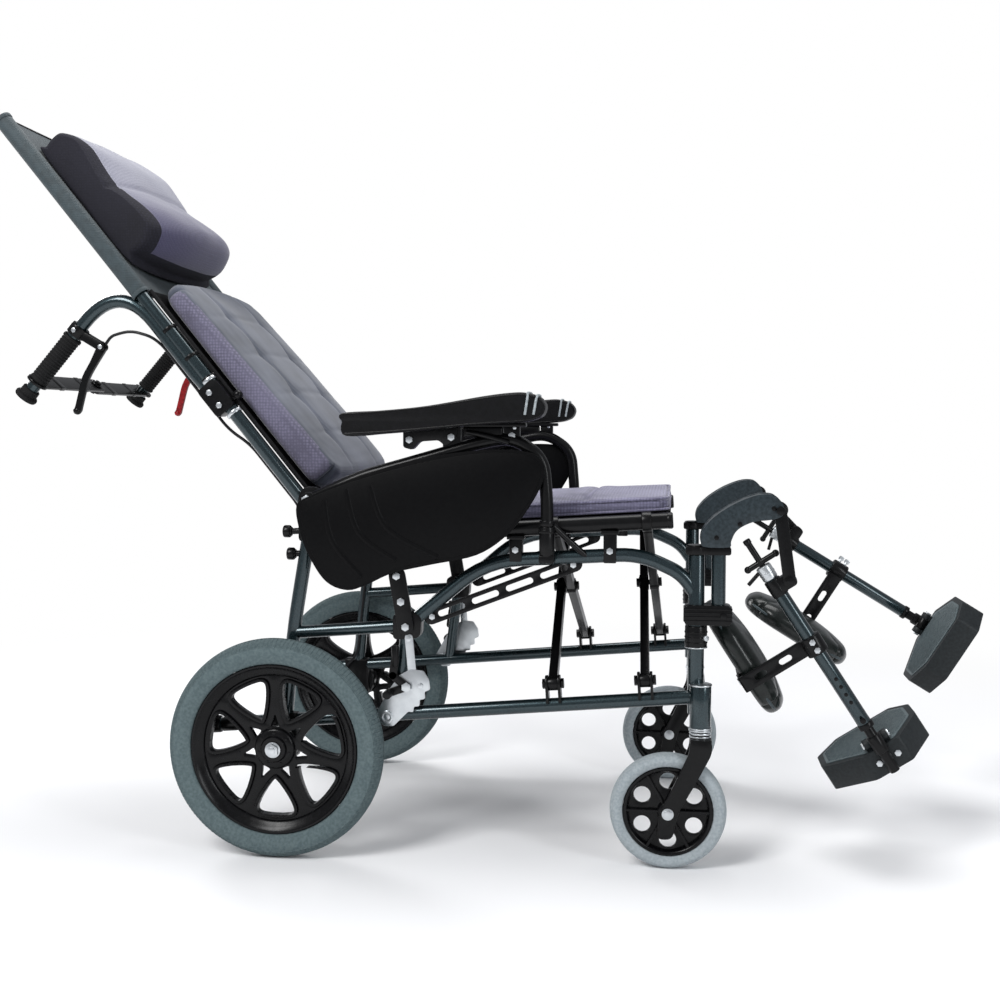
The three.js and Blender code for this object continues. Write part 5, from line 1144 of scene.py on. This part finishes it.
@pair(BLACK, "handle_bar", place=back_frame)
def handle_spreader_centre(bm, side):
    x, _, z = handle_place(BAR_A)
    start = Vector((x, 0, z))
    way = Vector((0.9855, 0, 0.1698)) * -WAY[side]
    rod(bm, start + way * 4.8, start + way * 8.4, 11, 36, 1.2)
    bolt(bm, start + way * 8.4, way, 6.6, 3.4)


# Arms
@pair(BLACK, "arm", "arm_frame")
def arm_frame_tube(bm, side):
    path = [ARM_PIVOT, (134, 605), (230, 632), (328, 660), (376, 668), (424, 636), (430, 566), (430, 530.4)]
    pipe(bm, at(path, ARM_Y), 10, 26, 28, 8)
    block(bm, (140, ARM_Y - 9, 683.7), (398, ARM_Y + 9, 689.7), 1.6)
    for outline in ([(268, 640), (296, 648), (296, 685), (268, 685)], oblong(364, 388, 662, 685)):
        slab(bm, outline, ARM_Y - 5, ARM_Y + 5, 1.2, bend=3)
    slab(bm, disc(ARM_PIVOT, 13, 36), ARM_Y - 10, ARM_Y + 10, 1.4)


@pair(BLACK, "arm")
def arm_latch(bm, side):
    # The latch lever that frees the arm, with its spring housing
    block(bm, (300, ARM_Y - 7, 668), (362, ARM_Y + 7, 684), 3, 3)
    pipe(bm, [(306, ARM_Y - 4, 676), (330, ARM_Y - 12, 672), (372, ARM_Y - 12, 660)], 4.4, 14, 18)
    housing = [(206, 652), (220, 648), (232, 661), (262, 663), (272, 654), (290, 666), (291, 685), (206, 685)]
    slab(bm, housing, ARM_Y - 9, ARM_Y + 9, 1.8, bend=4)
    post(bm, SOCKET_X, ARM_Y, 531, 540, 12, 32, 1.4)


@pair(ZINC, "arm")
def arm_hardware(bm, side):
    side_bolts(bm, [(216, 664), (282, 668)], ARM_Y - 9, 6, 3.4)
    side_bolts(bm, [(376, 670)], ARM_Y - 5, 6, 3.4)
    for x in (160, 380):
        post(bm, x, ARM_Y, 680, 684.6, 5.6)


PAD_TOP = [(118, 705), (180, 709), (250, 716), (340, 731), (384, 736), (404, 735), (420, 730), (429, 721),
           (431, 712)]
PAD_FOOT = [(427, 702), (418, 696), (396, 691), (320, 686), (250, 679), (180, 673), (122, 670)]
PAD_MIDDLE, PAD_HALF = ARM_Y - 18, 26
PAD_REAR, NOSE_X, NOSE = 118, 392, 39


def pad_section(x, z, share):
    """A place on the pad: an outline place, moved across by a share of its half width from -1 to 1."""
    rise = math.sqrt(max(1 - abs(share) ** 7, 0))
    nose = max(0, (x - NOSE_X) / NOSE)
    centre = 696 + (x - PAD_REAR) * 0.05
    out = math.sin(math.pi / 2 * share) * PAD_HALF * (1 - 0.24 * nose ** 2)
    tuck = 1.3 * dimple(abs(share) - 0.5, 0.07) * fade(nose, 2)
    return (x - 3 * (1 - rise) * nose, PAD_MIDDLE + out,
            centre + (z - centre) * (0.62 + 0.38 * rise) - (tuck if z > centre else 0))


@pair(ARM_VINYL, "arm", "arm_pad", smooth=ROUND_SMOOTH)
def arm_pad_cover(bm, side):
    curve = flowing([(PAD_REAR, 690)] + PAD_TOP + PAD_FOOT, 5)
    loft(bm, [[pad_section(*p, share) for p in curve] for share in across(1, 40)])


@pair(ARM_VINYL, "arm")
def arm_pad_piping(bm, side):
    for share in (-0.93, 0.93):
        for outline in (PAD_TOP, PAD_FOOT):
            pipe(bm, [pad_section(*p, share) for p in flowing(outline, 4, closed=False)], 1.3, 0, 8)


@pair(STRIP, "arm")
def arm_pad_strip(bm, side):
    for x, z in ((405, 735.4), (419, 731.6)):
        foot, other = (pad_section(x - 4, 697, share) for share in (-1, 1))
        pipe(bm, [foot] + [pad_section(x, z, share) for share in across(1, 24)] + [other], 2, 0, 10)


@pair(GUARD_PLASTIC, "arm", "side_guard")
def side_guard_panel(bm, side):
    outline = [(36, 560), (60, 577), (134, 606), (230, 634), (330, 648), (400, 646), (426, 628), (424, 598),
               (398, 552), (368, 516), (322, 486), (250, 470), (190, 456), (150, 438), (118, 428), (84, 440),
               (58, 476), (42, 516)]
    curve = flowing(outline, 5)
    centre = Vector((236, 545))
    slab(bm, curve, -282.3, -276.4, 1.6, segments=3)
    slab(bm, [spot + (centre - spot).normalized() * 7 for spot in curve], -283.5, -282, 0.7)
    # Curved ribs are raised at the rear of the panel
    for rib in (((81, 569), (94, 505), (140, 450)), ((116, 586), (137, 518), (195, 476)),
                ((154, 592), (182, 526), (262, 482))):
        pipe(bm, at(flowing(rib, 10, closed=False), -278.6), 6.6, 0, 24)


# Wheel locks
@pair(ZINC, "frame", "wheel_lock_plate")
def wheel_lock_stamping(bm, side):
    toothed = [(158, 232), (160, 216), (170, 207), (184, 208), (196, 220), (208, 232), (216, 231), (217, 240),
               (226, 241), (226, 251), (235, 253), (234, 264), (243, 268), (241, 284), (232, 298), (212, 300),
               (194, 290), (178, 268)]
    slab(bm, eased(toothed, 2.5, 3), -250.7, -254.4, 0.6)
    eye = (173, 222)
    slab(bm, disc(eye, 10.5, 36), -254.2, -257, 0.8, [disc(eye, 5.6, 28)])
    pin(bm, eye, -254, -255.4, 5.4, 24, 0.2)
    slab(bm, stadium((214, 296), (209, 350), 13), -250.9, -253.9, 0.6)
    side_bolts(bm, [(190, 262), (228, 274), (209, 348)], -253.6, 4.6, 3)
    side_bolts(bm, [LOCK_PIVOT], -260, 8, 3.4)


@pair(BLACK, "wheel_lock", "wheel_lock_lever")
def wheel_lock_handle(bm, side):
    for start, end in ((LOCK_PIVOT, (184, 290)), ((184, 290), (188, 318)), (LOCK_PIVOT, (178, 262))):
        slab(bm, stadium(start, end, 13), -255, -259.6)
    pin(bm, LOCK_PIVOT, -254, -260.2, 5, 24, 0.6)
    pin(bm, (178, 262), -256, -278.6, 6.6, 28)
    for y in (-262, -266, -270, -274):
        pin(bm, (178, 262), y, y - 1.6, 7.2, 28, 0.4)
    post(bm, 188, -257.3, 303, 338, 5.2, 28, 2, 6.2)


# Legrest hangers and knee covers
@pair(ENAMEL, "legrest", "leg_hanger")
def legrest_hanger_tube(bm, side):
    pipe(bm, at([(692.5, 384), (692.5, 515), (722, 553), LEG_PIVOT]), TUBE, 24, 28, 8)


@pair(BLACK, "legrest")
def legrest_hanger_fittings(bm, side):
    y = FRAME_Y
    slab(bm, oblong(642, 711, 488, 500.6), y - 13, y + 13, 2, bend=4)
    post(bm, POST_X, y, 488, 503, 15, 36, 1.4)
    slab(bm, oblong(640, 713, 380, 411), y - 17, y + 17, 3, segments=3, bend=9)
    for z in (386, 392, 398, 404):
        slab(bm, oblong(639.4, 713.6, z, z + 2.2), y - 18, y + 18, 0.7, bend=0.8)
    pin(bm, LEG_PIVOT, y - 11, y + 11, 12.4, 36, 1.4)


@pair(BLACK, "legrest")
def legrest_hanger_hardware(bm, side):
    y = FRAME_Y
    for place in ((688, 516), (723, 537), (773, 561)):
        pin(bm, place, -264, -265.6, 3.6, 20, 0.5)
    pin(bm, LEG_PIVOT, y - 12, y - 29.4, 5)
    side_bolts(bm, [LEG_PIVOT], y - 26.4, 7.4, 4)
    side_bolts(bm, [(700, 395)], y - 17, 5.2, 3)


@pair(KNEE_PLASTIC, "legrest", "knee_panel")
def knee_cover(bm, side):
    cheek = [(671, 501.4), (664.5, 508), (665, 521), (671, 533), (685, 548), (708, 564), (730, 575),
             (752, 582), (771, 582), (780, 576), (787, 566), (788, 555), (782, 547.5), (767, 543.5),
             (745, 541), (727, 533.5), (716, 524), (710, 510.5), (706.5, 501.4)]
    for low in (-264, -221):
        slab(bm, flowing(cheek, 4), low, low + 5, 2.2, segments=3)
    # The top wall joins the two cheeks
    top = [(665, 519), (671, 532.5), (685, 547.5), (708, 563.5), (730, 574.5), (752, 581.5), (771, 581.5)]
    slab(bm, top + [(x + 3.4, z - 5) for x, z in reversed(top)], -262, -218, 1.4)


# Elevating legs, drawn in the frame of the sliding tube: z runs up it, and the leg's pivot lies beside its
# top
tube_frame = {side: leg_frame[side] @ Matrix.Translation((LEG_TUBE_X[side], 0, 0)) for side in SIDES}
LEG_END = {"right": -345, "left": -350}
LINK_FOOT = (22, -98)
CALF_X, CALF_Z = -190.3, -202
CALF_PLACE = (-190, 102, -178)
FOOT_PIVOT = (22, -380.4)


@pair(ENAMEL, "leg", "leg_tube", tube_frame)
def leg_sliding_tube(bm, side):
    post(bm, 0, 0, -83, LEG_END[side], TUBE, 36, 1)


@pair(BLACK, "leg", place=tube_frame)
def leg_link_bar(bm, side):
    slab(bm, stadium((-LEG_TUBE_X[side], 0), LINK_FOOT, 19, 10), -17, -11.4, 1.6)
    slab(bm, [(0, -87), (30, -87), (34, -98), (30, -109), (0, -109)], -12, 9, 2, bend=5)
    for row in ((-112, -84, 13, 36, 1.4), (-352, -343, 12.4, 36, 1.4), (-240, -428, 8, 28, 1)):
        post(bm, 0, 0, *row)
    for z in (-262, -276, -290, -304):
        pin(bm, (0, z), -11.6, -10.4, 3, 16, 0.2)


@pair(BLACK, "leg", place=tube_frame)
def leg_hardware(bm, side):
    for place in ((-LEG_TUBE_X[side], 0), LINK_FOOT):
        pin(bm, place, -17, -18.4, 8, 32, 0.4)
        side_bolts(bm, [place], -18.4, 6, 3)
    pin(bm, (0, -336), -12, -16, 4.6, 20)


@pair(ZINC, "leg_release", "leg_release", tube_frame)
def leg_release_knuckle(bm, side):
    post(bm, 0, 0, -83, -59, 12, 36, 2.4)
    post(bm, 0, 0, -74, -70, 12.6, 36, 1)


@pair(BLACK, "leg_release", place=tube_frame)
def leg_release_bar(bm, side):
    ends = (-22, 27)
    pipe(bm, [(x, 0, -53) for x in ends], 4.6)
    for x in ends:
        ball(bm, (x, 0, -53), 5.6, 20, 12)
    post(bm, 0, 0, -60, -12, 5, 24, 1.4)
    post(bm, 0, 0, -20, -12, 6, 24, 1.4)
    pipe(bm, [(-34, 0, -73), (-11, 0, -66)], 3, 0, 16)


@pair(BLACK, "calf_rest", "calf_bracket", tube_frame)
def calf_bracket_slotted(bm, side):
    far = CALF_X - LEG_TUBE_X[side]
    post(bm, 0, 0, -217, -187, 17, 40, 2)
    middles = [-17 + (far + 17) * share for share in (0.3, 0.72)]
    slots = [stadium((x - 6, CALF_Z), (x + 6, CALF_Z), 10, 6) for x in middles]
    slab(bm, oblong(far - 4, -4, CALF_Z - 13, CALF_Z + 13), 9, 15, 1.4, slots, bend=4)
    block(bm, (far - 4, 9, CALF_Z - 13), (far, 95, CALF_Z + 13), 1.4)


@pair(ZINC, "calf_rest", place=tube_frame)
def calf_bracket_hardware(bm, side):
    side_bolts(bm, [(0, -209), (0, -195)], -16.4, 5, 3)
    for y in (50, 82):
        bolt(bm, (CALF_X - 4 - LEG_TUBE_X[side], y, CALF_Z), (-1, 0, 0), 6, 3.6)
    if side == "left":
        # Two wing screws stand on the calf clamp
        for z in (-196, -208):
            rod(bm, (15, 0, z), (22, 0, z), 2.6, 16, 0.4)
            slab(bm, oblong(20, 28, z - 5, z + 5), -1.4, 1.4, 0.8, bend=3)


@pair(CALF_VINYL, "calf_rest", "calf_pad", leg_frame, ROUND_SMOOTH)
def calf_pad_cover(bm, side):
    pillow(bm, 198, 150, 33, 15, lambda u, v: 14 * fade(u, 2.4) * fade(v, 2.4), (64, 52), 3, 64)
    move(bm, Matrix.Translation(CALF_PLACE) @ upright)


@pair(CANVAS, "calf_rest", place=leg_frame)
def calf_pad_trim(bm, side):
    x, y, z = CALF_PLACE
    pipe(bm, [(x + 16, y - wide, z + high) for high, wide in ring_route(192, 144, 61, 10)], 2.4, 0, 10)


@pair(BLACK, "foot_stem", "foot_stem", tube_frame)
def foot_stem_rod(bm, side):
    y, z = FOOT_PIVOT
    post(bm, 0, 0, -350, -430, 8.05, 28, 1.2)
    rod(bm, (-10, y, z), (10, y, z), 9, 32, 1)
    block(bm, (-5, 0, -386), (5, 20, -375), 1.4)
    post(bm, 0, 0, -395, -366, 11, 32, 1.4)


# Footplates are drawn as plates in their own plane, then laid flat under the foot
PLATE_LAY = Matrix(((1, 0, 0, 0), (0, 0, 1, 0), (0, -1, 0, 0), (0, 0, 0, 1)))


@pair(PLATE_PLASTIC, "footplate", "footplate", tube_frame)
def footplate_body(bm, side):
    plan = [(-30, 9.5), (33, 9.5), (75, 74.5), (75, 136.5), (45, 174.5), (-55, 174.5), (-95, 136.5),
            (-95, 74.5)]
    slab(bm, plan, 390.2, 431.6, 3, segments=3, bend=5)
    move(bm, PLATE_LAY)
    y, z = FOOT_PIVOT
    for way in (-1, 1):
        start, end = way * 10.3, way * 20.3
        rod(bm, (start, y, z), (end, y, z), 9, 32, 1)
        block(bm, (min(start, end), 17.5, -392), (max(start, end), 30, z), 1.4)


def inside(spot, outline, margin):
    """Whether a place lies within a convex outline by at least the margin."""
    corners = [Vector(place) for place in outline]
    centre = sum(corners, Vector((0, 0))) / len(corners)
    for a, b in zip(corners[-1:] + corners, corners):
        normal = Vector((a.y - b.y, b.x - a.x)).normalized()
        if normal.dot(centre - a) < 0:
            normal = -normal
        if normal.dot(spot - a) < margin:
            return False
    return True


@pair(TREAD_PLASTIC, "footplate", place=tube_frame)
def footplate_tread(bm, side):
    plan = [(-24, 18), (27, 18), (65, 77), (65, 133), (40, 165), (-50, 165), (-85, 133), (-85, 77)]
    slab(bm, plan, 389, 391, 0.8, bend=5)
    for y in [34 + row * 5.8 for row in range(22)]:
        spread = [x for x in range(-90, 71) if inside(Vector((x, y)), plan, 4)]
        slab(bm, oblong(spread[0], spread[-1], y - 1.2, y + 1.2), 388, 389.6, 0.5, segments=1)
    move(bm, PLATE_LAY)


@pair(ZINC, "footplate", place=tube_frame)
def footplate_hardware(bm, side):
    y, z = FOOT_PIVOT
    rod(bm, (-22, y, z), (22, y, z), 4, 20)
    for way in (1, -1):
        bolt(bm, (way * 20.3, y, z), (way, 0, 0), 6, 3)
    side_bolts(bm, [(-14, -411), (18, -411)], 9.8, 5.4, 3)


# Each sling and cushion gets a mesh of its own, and each brake cable has its placing baked into its mesh
for piece, half in ((seat_sling, SEAT_SLING_HALF), (back_sling, BACK_SLING_HALF),
                    (head_sling, HEAD_SLING_HALF), (head_binding, HEAD_SLING_HALF)):
    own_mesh(piece)
for piece, y, keep in ((seat_cushion, FRAME_Y, 0.45), (back_cushion, CANE_Y, 0.38),
                       (head_cushion, CANE_Y, 0.4)):
    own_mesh(piece)
for side in SIDES:
    y = WAY[side] * 214
    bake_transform(brake_cable_sheath[side])

# Studio: a flat white floor that turns plain white away from the chair, so that no horizon shows
mesh = bpy.data.meshes.new("floor")
bm = bmesh.new()
bmesh.ops.create_circle(bm, cap_ends=True, radius=14, segments=96)
bm.to_mesh(mesh)
bm.free()
floor = link("floor", mesh)
paper, tree, shader, spot = material("studio paper", "#F4F4F5", 0.9)
distance = add(tree, "ShaderNodeVectorMath", {0: spot}, operation="LENGTH")
fading = add(tree, "ShaderNodeMapRange", {"Value": distance.outputs["Value"], "From Min": 0.9,
                                          "From Max": 2.3}, interpolation_type="SMOOTHSTEP")
glow = add(tree, "ShaderNodeEmission", {"Color": (1, 1, 1, 1), "Strength": 1.0})
seen = add(tree, "ShaderNodeLightPath", {})
share = add(tree, "ShaderNodeMath", {0: fading.outputs[0], 1: seen.outputs["Is Camera Ray"]},
            operation="MULTIPLY")
cover = add(tree, "ShaderNodeMixShader", {0: share.outputs[0], 1: shader.outputs[0], 2: glow.outputs[0]})
feed(tree.nodes["Material Output"], {"Surface": cover.outputs[0]})
mesh.materials.append(paper)

scene = bpy.context.scene
scene.view_settings.view_transform = "Standard"
world = bpy.data.worlds.new("studio")
scene.world = world
world.use_nodes = True
tree = world.node_tree
background = tree.nodes["Background"]
feed(background, {"Color": (0.93, 0.95, 1, 1), "Strength": 0.4})
seen = add(tree, "ShaderNodeLightPath", {})
white = add(tree, "ShaderNodeBackground", {"Color": (1, 1, 1, 1), "Strength": 1.0})
mixed = add(tree, "ShaderNodeMixShader", {0: seen.outputs["Is Camera Ray"], 1: background.outputs[0],
                                          2: white.outputs[0]})
feed(tree.nodes["World Output"], {"Surface": mixed.outputs[0]})


def softbox(name, place, target, size, power, colour=(1, 1, 1)):
    data = bpy.data.lights.new(name, "AREA")
    data.shape = "RECTANGLE"
    data.size, data.size_y = size
    data.energy = power
    data.color = colour
    lamp = link(name, data)
    lamp.location = place
    lamp.rotation_euler = (Vector(target) - Vector(place)).to_track_quat("-Z", "Y").to_euler()


softbox("key", (-1.5, -2.4, 2.9), (0, 0, 0.5), (1.1, 1.6), 85)
softbox("fill", (2.6, -2.2, 1.5), (0, 0, 0.5), (0.6, 1.8), 30, (0.95, 0.98, 1))
softbox("top", (0.2, 0.6, 3.4), (0, 0, 0.4), (2.4, 1.6), 60)
softbox("rim", (-2.4, 2.2, 1.8), (0, 0, 0.7), (1.2, 1.6), 40)
